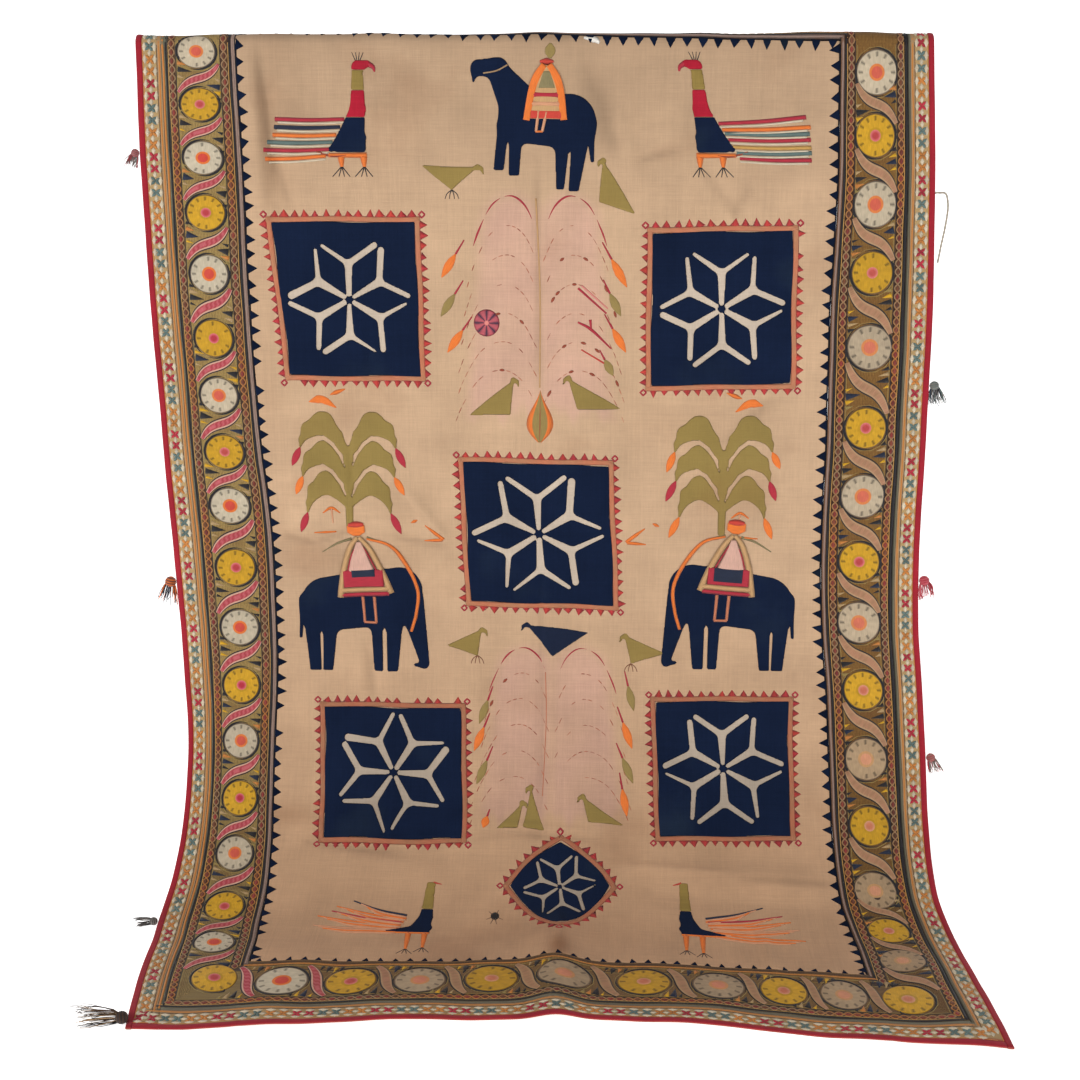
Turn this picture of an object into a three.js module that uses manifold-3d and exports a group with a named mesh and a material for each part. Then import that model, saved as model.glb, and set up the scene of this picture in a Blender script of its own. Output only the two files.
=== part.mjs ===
// A hanging of beige cotton with embroidered borders and sewn-on patches. It folds over at the top,
// drops nearly plumb and sweeps forward over the floor at its lower end. Millimetres, +Z up, the worked
// face toward -Y, origin on the underside of the top fold.

import * as THREE from 'three';
import Module from 'manifold-3d';
import { mergeVertices } from 'three/addons/utils/BufferGeometryUtils.js';

// Sizes of the cloth pieces.
const SEAM_GAP = 0.3;
const FIELD_THICKNESS = 1.6;
const BORDER_THICKNESS = 2.4;
const BAND_THICKNESS = 2.2;
const BINDING_EDGE_THICKNESS = 2.4;
const BINDING_MID_THICKNESS = 4.4;
const PATCH_THICKNESS = 1.0;
const FIELD_LENGTH = 1600;
const BORDER_WIDTH = 158;
const BINDING_WIDTH = 9.5;
const BAND_WIDTH = 35.5;
const TOP_SETTLE_LENGTH = 260;
const BOTTOM_SETTLE_START = 1250;

// Steps used to trace the profile and to find the direction that a point of the cloth faces.
const TRACE_START = -240;
const TRACE_END = 1840;
const NORMAL_STEP = 2;

// Sections down the cloth: distance along it from the top fold, its slope in degrees (180 straight up at the
// back, 0 straight down, 90 level toward the front), and where its edges and inner seams lie across.
const SECTIONS = [
  { along: -240, slope: 180, leftEdge: -617, leftSeam: -459, rightSeam: 477, rightEdge: 619 },
  { along: -22, slope: 180, leftEdge: -617, leftSeam: -459, rightSeam: 477, rightEdge: 619 },
  { along: 0, slope: 90, leftEdge: -617, leftSeam: -459, rightSeam: 477, rightEdge: 619 },
  { along: 22, slope: 2.6, leftEdge: -617, leftSeam: -459, rightSeam: 477, rightEdge: 620 },
  { along: 228, slope: 2.6, leftEdge: -619, leftSeam: -456, rightSeam: 484, rightEdge: 634 },
  { along: 438, slope: 2.6, leftEdge: -616, leftSeam: -454, rightSeam: 481, rightEdge: 642 },
  { along: 648, slope: 2.6, leftEdge: -608, leftSeam: -445, rightSeam: 484, rightEdge: 644 },
  { along: 808, slope: 2.6, leftEdge: -601, leftSeam: -432, rightSeam: 483, rightEdge: 644 },
  { along: 948, slope: 2.6, leftEdge: -595, leftSeam: -431, rightSeam: 490, rightEdge: 650 },
  { along: 1058, slope: 10.2, leftEdge: -591, leftSeam: -431, rightSeam: 501, rightEdge: 662 },
  { along: 1168, slope: 23.6, leftEdge: -582, leftSeam: -434, rightSeam: 507, rightEdge: 668 },
  { along: 1278, slope: 38.6, leftEdge: -579, leftSeam: -430, rightSeam: 508, rightEdge: 668 },
  { along: 1408, slope: 61.5, leftEdge: -579, leftSeam: -420, rightSeam: 511, rightEdge: 668 },
  { along: 1488, slope: 79, leftEdge: -580, leftSeam: -418, rightSeam: 520, rightEdge: 677 },
  { along: 1548, slope: 90, leftEdge: -575, leftSeam: -412, rightSeam: 525, rightEdge: 683 },
  { along: 1648, slope: 90, leftEdge: -566, leftSeam: -405, rightSeam: 528, rightEdge: 690 },
  { along: 1840, slope: 90, leftEdge: -536, leftSeam: -380, rightSeam: 538, rightEdge: 704 },
];

// Ends of the cloth, across from the left edge (0) by the left seam (1) and the right seam (2) to the right
// edge (3): where the top seam, the bottom seam and the hem lie along the cloth.
const ENDS = [
  { across: 0, topSeam: -14, bottomSeam: 1609, hem: 1784 },
  { across: 1, topSeam: -12, bottomSeam: 1608, hem: 1773 },
  { across: 1.23, topSeam: -4, bottomSeam: 1595, hem: 1748 },
  { across: 1.45, topSeam: 4, bottomSeam: 1586, hem: 1738 },
  { across: 1.7, topSeam: 12, bottomSeam: 1586, hem: 1738 },
  { across: 2, topSeam: 18, bottomSeam: 1604, hem: 1769 },
  { across: 3, topSeam: 20, bottomSeam: 1606, hem: 1779 },
];

// Soft folds as straight runs over the cloth: ends across and along, half width, and height out of the face.
const FOLDS = [
  { fromX: -438, fromAlong: -10, toX: -424, toAlong: 330, halfWidth: 17, height: 9 },
  { fromX: -414, fromAlong: 40, toX: -400, toAlong: 290, halfWidth: 13, height: -6 },
  { fromX: -248, fromAlong: 560, toX: -226, toAlong: 1240, halfWidth: 34, height: 6 },
  { fromX: -440, fromAlong: 828, toX: -130, toAlong: 830, halfWidth: 13, height: -4 },
  { fromX: -218, fromAlong: 700, toX: -132, toAlong: 834, halfWidth: 14, height: 4 },
  { fromX: 390, fromAlong: 60, toX: 410, toAlong: 760, halfWidth: 70, height: -7 },
  { fromX: 575, fromAlong: 250, toX: 560, toAlong: 1150, halfWidth: 60, height: 8 },
  { fromX: -560, fromAlong: 500, toX: -525, toAlong: 1450, halfWidth: 55, height: 8 },
  { fromX: -470, fromAlong: 1336, toX: -60, toAlong: 1338, halfWidth: 24, height: -7 },
  { fromX: -440, fromAlong: 1292, toX: -40, toAlong: 1296, halfWidth: 22, height: 5 },
  { fromX: 130, fromAlong: 1368, toX: 540, toAlong: 1398, halfWidth: 22, height: 7 },
  { fromX: 150, fromAlong: 1412, toX: 540, toAlong: 1440, halfWidth: 22, height: -5 },
  { fromX: 52, fromAlong: 1440, toX: 66, toAlong: 1800, halfWidth: 38, height: 14 },
  { fromX: -330, fromAlong: 1520, toX: -352, toAlong: 1820, halfWidth: 48, height: 5 },
  { fromX: 610, fromAlong: 1500, toX: 660, toAlong: 1830, halfWidth: 60, height: 7 },
];
const FOLD_END_FADE = 0.3;

// Columns across the cloth for each strip, in the across measure of ENDS.
const BINDING_SHARE = BINDING_WIDTH / BORDER_WIDTH;
const BAND_SHARE = (BINDING_WIDTH + BAND_WIDTH) / BORDER_WIDTH;
const FIELD_COLUMN_RUNS = [
  { from: 1, to: 1.08, cells: 4 },
  { from: 1.08, to: 1.5, cells: 5 },
  { from: 1.5, to: 1.6, cells: 2 },
  { from: 1.6, to: 2, cells: 4 },
];

// Rows along the cloth. Minus lengths are the part that hangs behind the fold.
const ROW_RUNS = {
  topBinding: [{ from: -BORDER_WIDTH, to: BINDING_WIDTH - BORDER_WIDTH, cells: 1 }],
  topBand: [{ from: BINDING_WIDTH - BORDER_WIDTH, to: BINDING_WIDTH + BAND_WIDTH - BORDER_WIDTH, cells: 1 }],
  topBorder: [
    { from: BINDING_WIDTH + BAND_WIDTH - BORDER_WIDTH, to: -36, cells: 2 },
    { from: -36, to: 0, cells: 5 },
  ],
  field: [
    { from: 0, to: 36, cells: 5 },
    { from: 36, to: 336, cells: 4 },
    { from: 336, to: 776, cells: 5 },
    { from: 776, to: 876, cells: 4 },
    { from: 876, to: 1276, cells: 7 },
    { from: 1276, to: 1456, cells: 7 },
    { from: 1456, to: 1600, cells: 4 },
  ],
  bottomBorder: [{ from: 1600, to: FIELD_LENGTH + BORDER_WIDTH - BINDING_WIDTH - BAND_WIDTH, cells: 2 }],
  bottomBand: [
    {
      from: FIELD_LENGTH + BORDER_WIDTH - BINDING_WIDTH - BAND_WIDTH,
      to: FIELD_LENGTH + BORDER_WIDTH - BINDING_WIDTH,
      cells: 1,
    },
  ],
  bottomBinding: [
    { from: FIELD_LENGTH + BORDER_WIDTH - BINDING_WIDTH, to: FIELD_LENGTH + BORDER_WIDTH, cells: 1 },
  ],
};

// Navy patches with a star cut through: middle of the patch, its size, how much narrower it is at the foot
// than at the head, how far the foot stands to the right, its turn, and the size and turn of the star.
// A bulge is how far the middle of each side stands outside the straight line between its corners.
const STAR_PATCHES = [
  { name: 'star_upper_left', x: -291, along: 416, width: 222, height: 246, taper: 17, slant: 14, turn: 0,
    tip: 94, notch: 57, starTurn: 0 },
  { name: 'star_upper_right', x: 308, along: 428, width: 224, height: 243, taper: -5, slant: -1, turn: 1,
    tip: 95, notch: 57, starTurn: 2 },
  { name: 'star_centre', x: 16, along: 801, width: 240, height: 238, taper: -2, slant: 16, turn: -1,
    tip: 104, notch: 60, starTurn: 3 },
  { name: 'star_lower_left', x: -228, along: 1215, width: 233, height: 221, taper: 1, slant: 10, turn: 0,
    tip: 98, notch: 58, starTurn: 28 },
  { name: 'star_lower_right', x: 329, along: 1199, width: 220, height: 227, taper: 7, slant: 1, turn: 1,
    tip: 97, notch: 57, starTurn: 2 },
  { name: 'star_point', x: 59, along: 1408, width: 115, height: 115, taper: 0, slant: 0, turn: 46,
    bulge: 9, tip: 58, notch: 33, starTurn: 8 },
];
const STAR_POINTS = 6;
const STAR_CUT = {
  stemStart: 0.1, stemEndWidth: 0.06, waistWidth: 0.135, armReach: 0.965, armTurn: 5.6, armEndWidth: 0.1,
};
const BULGE_SHARES = [0.3, 0.7];

// Figures as rounded strokes: ends and end radii, x to the figure's front and y up from its middle.
const ELEPHANT_STROKES = [
  { part: 'body', fromX: -54, fromY: 24, fromRadius: 47, toX: 38, toY: 38, toRadius: 50 },
  { part: 'head', fromX: 44, fromY: 40, fromRadius: 48, toX: 66, toY: 50, toRadius: 40 },
  { part: 'trunk', fromX: 86, fromY: 30, fromRadius: 22, toX: 108, toY: -76, toRadius: 8 },
  { part: 'fore_leg', fromX: 58, fromY: -6, fromRadius: 13.5, toX: 54.5, toY: -84, toRadius: 8.4 },
  { part: 'far_fore_leg', fromX: 28, fromY: -6, fromRadius: 10, toX: 31, toY: -84, toRadius: 7.6 },
  { part: 'hind_leg', fromX: -84, fromY: -6, fromRadius: 13, toX: -78, toY: -84, toRadius: 9.2 },
  { part: 'far_hind_leg', fromX: -52, fromY: -6, fromRadius: 13, toX: -57, toY: -84, toRadius: 7.8 },
  { part: 'tail', fromX: -98, fromY: 32, fromRadius: 4.5, toX: -103, toY: -34, toRadius: 2.5 },
];
const HORSE_STROKES = [
  { part: 'body', fromX: 36, fromY: 14, fromRadius: 38, toX: -42, toY: 10, toRadius: 43 },
  { part: 'neck', fromX: 41, fromY: 38, fromRadius: 33, toX: 75, toY: 90, toRadius: 17 },
  { part: 'head', fromX: 75, fromY: 93, fromRadius: 16, toX: 106, toY: 94, toRadius: 12.5 },
  { part: 'fore_leg', fromX: 66, fromY: 0, fromRadius: 9, toX: 75, toY: -60, toRadius: 8.2 },
  { part: 'far_fore_leg', fromX: 45, fromY: 0, fromRadius: 11, toX: 49, toY: -69, toRadius: 8.2 },
  { part: 'hind_leg', fromX: -60, fromY: -20, fromRadius: 14, toX: -48.5, toY: -93, toRadius: 7.5 },
  { part: 'far_hind_leg', fromX: -31, fromY: -20, fromRadius: 12, toX: -27, toY: -93, toRadius: 5.5 },
  { part: 'tail', fromX: -76, fromY: 4, fromRadius: 7, toX: -80, toY: -52, toRadius: 3 },
];
const PEACOCK_STROKES = [
  { part: 'body', fromX: -8, fromY: -24, fromRadius: 24, toX: 6, toY: 30, toRadius: 12 },
  { part: 'neck', fromX: 6, fromY: 30, fromRadius: 12, toX: 7, toY: 92, toRadius: 8 },
  { part: 'head', fromX: 8, fromY: 94, fromRadius: 9, toX: 20, toY: 92, toRadius: 4 },
];
const PALM_LEAVES = [
  { tier: 'low', rootY: 24, crownY: 61, tipY: 9, reach: 72 },
  { tier: 'middle', rootY: 62, crownY: 113, tipY: 72, reach: 79 },
  { tier: 'high', rootY: 112, crownY: 163, tipY: 122, reach: 82 },
];
const LEAF_STATIONS = [
  { part: 'root', out: 0.04, fall: 0, radius: 6 },
  { part: 'crown', out: 0.52, fall: 0, radius: 20 },
  { part: 'brow', out: 0.82, fall: 0.3, radius: 13 },
  { part: 'tip', out: 1, fall: 1, radius: 2.5 },
];
const PALM_STEM = { part: 'stem', fromX: 0, fromY: -18, fromRadius: 6, toX: 0, toY: 116, toRadius: 9 };

// Places of the figures: middle across and along, which way they face, size, and how far they lean forward.
const FIGURES = [
  { name: 'elephant_left', kind: 'elephant', x: -286, along: 950, facing: 1, size: 1 },
  { name: 'elephant_right', kind: 'elephant', x: 339, along: 940, facing: -1, size: 1 },
  { name: 'horse', kind: 'horse', x: 22, along: 148, facing: -1, size: 0.96 },
  { name: 'peacock_upper_left', kind: 'peacock', x: -276, along: 150, facing: 1, size: 1 },
  { name: 'peacock_upper_right', kind: 'peacock', x: 276, along: 150, facing: -1, size: 1, lean: 0.12 },
  { name: 'peacock_lower_left', kind: 'peacock', x: -158, along: 1502, facing: 1, size: 0.86 },
  { name: 'peacock_lower_right', kind: 'peacock', x: 267, along: 1494, facing: -1, size: 0.86 },
  { name: 'palm_left', kind: 'palm', x: -300, along: 776, facing: 1, size: 0.97 },
  { name: 'palm_right', kind: 'palm', x: 318, along: 778, facing: -1, size: 0.97 },
];
const STROKE_END_POINTS = 4;
const OUTLINE_STEP = 130;
const CUTTER_REACH = 40;

// Tassels: which edge, place along it, head, and the way and length that the threads fall.
const TASSELS = [
  { name: 'tassel_left_upper', side: -1, along: 187, head: 7, strands: 7, length: 20,
    out: 0.35, front: 0.1, down: 0.9, colour: 0x8a4a4c },
  { name: 'tassel_left_middle', side: -1, along: 890, head: 10, strands: 9, length: 34,
    out: 0.2, front: 0.15, down: 0.95, colour: 0x2b3450 },
  { name: 'tassel_left_lower', side: -1, along: 1502, head: 7, strands: 7, length: 26,
    out: 0.9, front: 0.25, down: 0.12, colour: 0x6d7280 },
  { name: 'tassel_corner', side: -1, along: 1770, head: 10, strands: 10, length: 62,
    out: 0.95, front: 0.25, down: 0.03, colour: 0x7d756c },
  { name: 'tassel_right_upper', side: 1, along: 548, head: 8, strands: 8, length: 28,
    out: 0.25, front: 0.1, down: 0.95, colour: 0x4a5060 },
  { name: 'tassel_right_middle', side: 1, along: 872, head: 9, strands: 8, length: 30,
    out: 0.25, front: 0.1, down: 0.95, colour: 0xa03540 },
  { name: 'tassel_right_lower', side: 1, along: 1174, head: 8, strands: 8, length: 26,
    out: 0.35, front: 0.15, down: 0.9, colour: 0x77686c },
];
const STRAND_ROOT_RADIUS = 1.5;
const STRAND_TIP_RADIUS = 0.9;
const STRAND_STEPS = 2;
const STRAND_SIDES = 3;
const STRAND_SPREAD = 0.4;
const HEAD_SIDES = 8;
const HEAD_RINGS = 4;
const FLOOR_CLEARANCE = 0.5;

// Tie cord: route from the right edge in steps outward, toward the front and upward.
const TIE_DIAMETER = 3;
const TIE_ALONG = 246;
const TIE_SIDES = 6;
const TIE_STEPS = 18;
const TIE_ROUTE = [
  { out: 0, front: 0, up: 0 },
  { out: 6, front: 0, up: 0 },
  { out: 16, front: 3, up: -2 },
  { out: 20, front: 5, up: -22 },
  { out: 18, front: 4, up: -52 },
  { out: 14, front: 2, up: -82 },
  { out: 11, front: 1, up: -108 },
];

const COLOURS = {
  field: 0xc9a887,
  border: 0x8a6a35,
  band: 0xb9a27f,
  binding: 0x9c2733,
  navy: 0x17233f,
  olive: 0x99914f,
  tie: 0xb8ab98,
};
const CLOTH_ROUGHNESS = 0.92;

const wasm = await Module();
wasm.setup();
const { Manifold, Mesh: ManifoldMesh } = wasm;

function radians(degrees) {
  return (degrees * Math.PI) / 180;
}

function smoothStep(from, to, value) {
  const t = Math.min(1, Math.max(0, (value - from) / (to - from)));
  return t * t * (3 - 2 * t);
}

function rowIndex(table, key, at) {
  const found = table.findIndex((row, index) => index > 0 && row[key] >= at);
  return found < 0 ? table.length - 2 : found - 1;
}

function linearAt(table, key, column, at) {
  const index = rowIndex(table, key, at);
  const low = table[index];
  const high = table[index + 1];
  const t = (at - low[key]) / (high[key] - low[key]);
  return low[column] + t * (high[column] - low[column]);
}

function slopeOf(table, key, column, index) {
  const low = table[Math.max(0, index - 1)];
  const high = table[Math.min(table.length - 1, index + 1)];
  return (high[column] - low[column]) / (high[key] - low[key]);
}

// A smooth curve through the rows of a table, level with the line through the rows on either side of each.
function curveAt(table, key, column, at) {
  const index = rowIndex(table, key, at);
  const low = table[index];
  const high = table[index + 1];
  const span = high[key] - low[key];
  const t = Math.min(1, Math.max(0, (at - low[key]) / span));
  const rise = t * t * (3 - 2 * t);
  const lowBend = t * (1 - t) * (1 - t) * span * slopeOf(table, key, column, index);
  const highBend = t * t * (t - 1) * span * slopeOf(table, key, column, index + 1);
  return low[column] + rise * (high[column] - low[column]) + lowBend + highBend;
}

// The side view of the cloth: arcs of even bend from one section's slope to the next.
function traceProfile() {
  const trace = [];
  let y = 0;
  let z = 0;
  for (let along = TRACE_START; along <= TRACE_END; along += 1) {
    trace.push({ y, z });
    const slope = radians(linearAt(SECTIONS, 'along', 'slope', along + 0.5));
    y -= Math.sin(slope);
    z -= Math.cos(slope);
  }
  const crest = trace[-TRACE_START];
  return trace.map((point) => ({ y: point.y - crest.y, z: point.z - crest.z + FIELD_THICKNESS / 2 }));
}

const PROFILE = traceProfile();

function profileAt(along) {
  const place = Math.min(TRACE_END - 1, Math.max(TRACE_START, along)) - TRACE_START;
  const index = Math.floor(place);
  const t = place - index;
  const low = PROFILE[index];
  const high = PROFILE[index + 1];
  return { y: low.y + t * (high.y - low.y), z: low.z + t * (high.z - low.z) };
}

function foldHeight(x, along) {
  return FOLDS.reduce((height, fold) => {
    const runX = fold.toX - fold.fromX;
    const runAlong = fold.toAlong - fold.fromAlong;
    const length = Math.hypot(runX, runAlong);
    const t = ((x - fold.fromX) * runX + (along - fold.fromAlong) * runAlong) / (length * length);
    const aside = ((x - fold.fromX) * runAlong - (along - fold.fromAlong) * runX) / length;
    const fade = smoothStep(0, FOLD_END_FADE, t) * smoothStep(0, FOLD_END_FADE, 1 - t);
    return height + fold.height * fade * Math.exp(-((aside / fold.halfWidth) ** 2));
  }, 0);
}

// Middle of the cloth's thickness, across at x and a given distance along it.
function clothPoint(x, along) {
  const slope = radians(linearAt(SECTIONS, 'along', 'slope', along));
  const { y, z } = profileAt(along);
  const height = foldHeight(x, along);
  return new THREE.Vector3(x, y - height * Math.cos(slope), z + height * Math.sin(slope));
}

function clothNormal(x, along) {
  const across = clothPoint(x + NORMAL_STEP, along).sub(clothPoint(x - NORMAL_STEP, along));
  const down = clothPoint(x, along + NORMAL_STEP).sub(clothPoint(x, along - NORMAL_STEP));
  return down.cross(across).normalize();
}

function alongAt(across, row) {
  const top = curveAt(ENDS, 'across', 'topSeam', across);
  const bottom = curveAt(ENDS, 'across', 'bottomSeam', across);
  const hem = curveAt(ENDS, 'across', 'hem', across);
  if (row <= 0) {
    return row + top;
  }
  if (row <= FIELD_LENGTH) {
    const topShare = 1 - smoothStep(0, TOP_SETTLE_LENGTH, row);
    const bottomShare = smoothStep(BOTTOM_SETTLE_START, FIELD_LENGTH, row);
    return row + top * topShare + (bottom - FIELD_LENGTH) * bottomShare;
  }
  return bottom + ((row - FIELD_LENGTH) * (hem - bottom)) / BORDER_WIDTH;
}

function acrossAt(across, along) {
  const lines = ['leftEdge', 'leftSeam', 'rightSeam', 'rightEdge'];
  const index = Math.min(2, Math.floor(across));
  const low = curveAt(SECTIONS, 'along', lines[index], along);
  const high = curveAt(SECTIONS, 'along', lines[index + 1], along);
  return low + (across - index) * (high - low);
}

function spread(runs) {
  const places = runs.flatMap(({ from, to, cells }) =>
    Array.from({ length: cells }, (_, index) => from + ((to - from) * index) / cells));
  return [...places, runs[runs.length - 1].to];
}

// Station of a grid corner on the cloth, drawn in by half the seam gap where another piece meets it.
function stationAt(across, row, inset) {
  const along = alongAt(across, row) + inset.along;
  return { x: acrossAt(across, along) + inset.x, along };
}

function insetOf(index, last, startMeets, endMeets) {
  const startInset = index === 0 && startMeets ? SEAM_GAP / 2 : 0;
  const endInset = index === last && endMeets ? SEAM_GAP / 2 : 0;
  return startInset - endInset;
}

// Corners of a piece of cloth: position, facing direction and share of the way across and down the piece.
function clothGrid({ columns, rows, meets }) {
  return rows.map((row, rowAt) => columns.map((across, columnAt) => {
    const inset = {
      x: insetOf(columnAt, columns.length - 1, meets.left, meets.right),
      along: insetOf(rowAt, rows.length - 1, meets.top, meets.bottom),
    };
    const { x, along } = stationAt(across, row, inset);
    return { point: clothPoint(x, along), normal: clothNormal(x, along), across, row };
  }));
}

// Closed body between two offsets of a grid, with walls all round.
function slabGeometry(grid, lowOffset, highOffset) {
  const rowCount = grid.length;
  const columnCount = grid[0].length;
  const corners = grid.flat();
  const layerSize = corners.length;
  const at = (row, column) => row * columnCount + column;
  const face = corners.map((corner) => corner.point.clone().addScaledVector(corner.normal, highOffset(corner)));
  const back = corners.map((corner) => corner.point.clone().addScaledVector(corner.normal, lowOffset(corner)));
  const index = [];
  for (let row = 0; row < rowCount - 1; row += 1) {
    for (let column = 0; column < columnCount - 1; column += 1) {
      const a = at(row, column);
      const b = at(row, column + 1);
      const c = at(row + 1, column + 1);
      const d = at(row + 1, column);
      index.push(a, d, c, a, c, b);
      index.push(layerSize + a, layerSize + c, layerSize + d, layerSize + a, layerSize + b, layerSize + c);
    }
  }
  const rim = [];
  for (let column = 0; column < columnCount - 1; column += 1) rim.push(at(0, column));
  for (let row = 0; row < rowCount - 1; row += 1) rim.push(at(row, columnCount - 1));
  for (let column = columnCount - 1; column > 0; column -= 1) rim.push(at(rowCount - 1, column));
  for (let row = rowCount - 1; row > 0; row -= 1) rim.push(at(row, 0));
  rim.forEach((here, place) => {
    const next = rim[(place + 1) % rim.length];
    index.push(here, next, layerSize + next, here, layerSize + next, layerSize + here);
  });
  const geometry = new THREE.BufferGeometry();
  geometry.setAttribute('position', new THREE.BufferAttribute(toPositions([...face, ...back]), 3));
  geometry.setIndex(index);
  return geometry;
}

function toPositions(points) {
  return new Float32Array(points.flatMap((point) => [point.x, point.y, point.z]));
}

function toManifold(geometry) {
  const bare = new THREE.BufferGeometry();
  bare.setAttribute('position', geometry.getAttribute('position').clone());
  if (geometry.index) bare.setIndex(geometry.index.clone());
  const merged = mergeVertices(bare);
  return new Manifold(new ManifoldMesh({
    numProp: 3,
    vertProperties: new Float32Array(merged.getAttribute('position').array),
    triVerts: new Uint32Array(merged.index.array),
  }));
}

function toGeometry(manifold) {
  const mesh = manifold.getMesh();
  const geometry = new THREE.BufferGeometry();
  geometry.setAttribute('position', new THREE.BufferAttribute(new Float32Array(mesh.vertProperties), 3));
  geometry.setIndex(new THREE.BufferAttribute(new Uint32Array(mesh.triVerts), 1));
  return geometry;
}

function makeMesh(name, geometry, colour) {
  const solid = geometry.index ? geometry.toNonIndexed() : geometry;
  solid.computeVertexNormals();
  const material = new THREE.MeshStandardMaterial({
    color: colour,
    roughness: CLOTH_ROUGHNESS,
    metalness: 0,
  });
  const mesh = new THREE.Mesh(solid, material);
  mesh.name = name;
  return mesh;
}

function evenThickness(thickness) {
  return { low: () => -thickness / 2, high: () => thickness / 2 };
}

// The binding is thickest along its middle line, between its two edges.
function beadThickness(measure, from, to) {
  const half = (corner) => {
    const t = (2 * (corner[measure] - from)) / (to - from) - 1;
    return (BINDING_EDGE_THICKNESS + (BINDING_MID_THICKNESS - BINDING_EDGE_THICKNESS) * (1 - t * t)) / 2;
  };
  return { low: (corner) => -half(corner), high: half };
}

const FIELD_COLUMNS = spread(FIELD_COLUMN_RUNS);
const FIELD_ROWS = spread(ROW_RUNS.field);
const MIDDLE_ROW_RUNS = [...ROW_RUNS.topBorder, ...ROW_RUNS.field, ...ROW_RUNS.bottomBorder];
const BAND_ROW_RUNS = [...ROW_RUNS.topBand, ...MIDDLE_ROW_RUNS, ...ROW_RUNS.bottomBand];
const EDGE_ROW_RUNS = [...ROW_RUNS.topBinding, ...BAND_ROW_RUNS, ...ROW_RUNS.bottomBinding];
const LEFT_COLUMN_RUNS = {
  binding: [{ from: 0, to: BINDING_SHARE, cells: 2 }],
  band: [{ from: BINDING_SHARE, to: BAND_SHARE, cells: 1 }],
  border: [{ from: BAND_SHARE, to: 1, cells: 2 }],
};
const RIGHT_COLUMN_RUNS = {
  binding: [{ from: 3 - BINDING_SHARE, to: 3, cells: 2 }],
  band: [{ from: 3 - BAND_SHARE, to: 3 - BINDING_SHARE, cells: 1 }],
  border: [{ from: 2, to: 3 - BAND_SHARE, cells: 2 }],
};
const BAND_END_COLUMN_RUNS = [...LEFT_COLUMN_RUNS.border, ...FIELD_COLUMN_RUNS, ...RIGHT_COLUMN_RUNS.border];
const BINDING_END_COLUMN_RUNS = [...LEFT_COLUMN_RUNS.band, ...BAND_END_COLUMN_RUNS, ...RIGHT_COLUMN_RUNS.band];

function endBead(runs) {
  return [{ ...runs[0], cells: 2 }];
}

const CLOTH_PIECES = [
  { name: 'field_panel', colour: COLOURS.field, columns: FIELD_COLUMNS, rows: FIELD_ROWS,
    meets: { left: true, right: true, top: true, bottom: true }, thickness: evenThickness(FIELD_THICKNESS) },
  { name: 'border_left', colour: COLOURS.border, columns: spread(LEFT_COLUMN_RUNS.border),
    rows: spread(MIDDLE_ROW_RUNS), meets: { left: true, right: true, top: true, bottom: true },
    thickness: evenThickness(BORDER_THICKNESS) },
  { name: 'border_right', colour: COLOURS.border, columns: spread(RIGHT_COLUMN_RUNS.border),
    rows: spread(MIDDLE_ROW_RUNS), meets: { left: true, right: true, top: true, bottom: true },
    thickness: evenThickness(BORDER_THICKNESS) },
  { name: 'border_top', colour: COLOURS.border, columns: FIELD_COLUMNS, rows: spread(ROW_RUNS.topBorder),
    meets: { left: true, right: true, top: true, bottom: true }, thickness: evenThickness(BORDER_THICKNESS) },
  { name: 'border_bottom', colour: COLOURS.border, columns: FIELD_COLUMNS, rows: spread(ROW_RUNS.bottomBorder),
    meets: { left: true, right: true, top: true, bottom: true }, thickness: evenThickness(BORDER_THICKNESS) },
  { name: 'band_left', colour: COLOURS.band, columns: spread(LEFT_COLUMN_RUNS.band), rows: spread(BAND_ROW_RUNS),
    meets: { left: true, right: true, top: true, bottom: true }, thickness: evenThickness(BAND_THICKNESS) },
  { name: 'band_right', colour: COLOURS.band, columns: spread(RIGHT_COLUMN_RUNS.band),
    rows: spread(BAND_ROW_RUNS), meets: { left: true, right: true, top: true, bottom: true },
    thickness: evenThickness(BAND_THICKNESS) },
  { name: 'band_top', colour: COLOURS.band, columns: spread(BAND_END_COLUMN_RUNS), rows: spread(ROW_RUNS.topBand),
    meets: { left: true, right: true, top: true, bottom: true }, thickness: evenThickness(BAND_THICKNESS) },
  { name: 'band_bottom', colour: COLOURS.band, columns: spread(BAND_END_COLUMN_RUNS),
    rows: spread(ROW_RUNS.bottomBand), meets: { left: true, right: true, top: true, bottom: true },
    thickness: evenThickness(BAND_THICKNESS) },
  { name: 'binding_left', colour: COLOURS.binding, columns: spread(LEFT_COLUMN_RUNS.binding),
    rows: spread(EDGE_ROW_RUNS), meets: { left: false, right: true, top: false, bottom: false },
    thickness: beadThickness('across', 0, BINDING_SHARE) },
  { name: 'binding_right', colour: COLOURS.binding, columns: spread(RIGHT_COLUMN_RUNS.binding),
    rows: spread(EDGE_ROW_RUNS), meets: { left: true, right: false, top: false, bottom: false },
    thickness: beadThickness('across', 3 - BINDING_SHARE, 3) },
  { name: 'binding_top', colour: COLOURS.binding, columns: spread(BINDING_END_COLUMN_RUNS),
    rows: spread(endBead(ROW_RUNS.topBinding)), meets: { left: true, right: true, top: false, bottom: true },
    thickness: beadThickness('row', -BORDER_WIDTH, BINDING_WIDTH - BORDER_WIDTH) },
  { name: 'binding_bottom', colour: COLOURS.binding, columns: spread(BINDING_END_COLUMN_RUNS),
    rows: spread(endBead(ROW_RUNS.bottomBinding)), meets: { left: true, right: true, top: true, bottom: false },
    thickness: beadThickness('row', FIELD_LENGTH + BORDER_WIDTH - BINDING_WIDTH, FIELD_LENGTH + BORDER_WIDTH) },
];

const FIELD_GRID = clothGrid(CLOTH_PIECES[0]);

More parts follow.
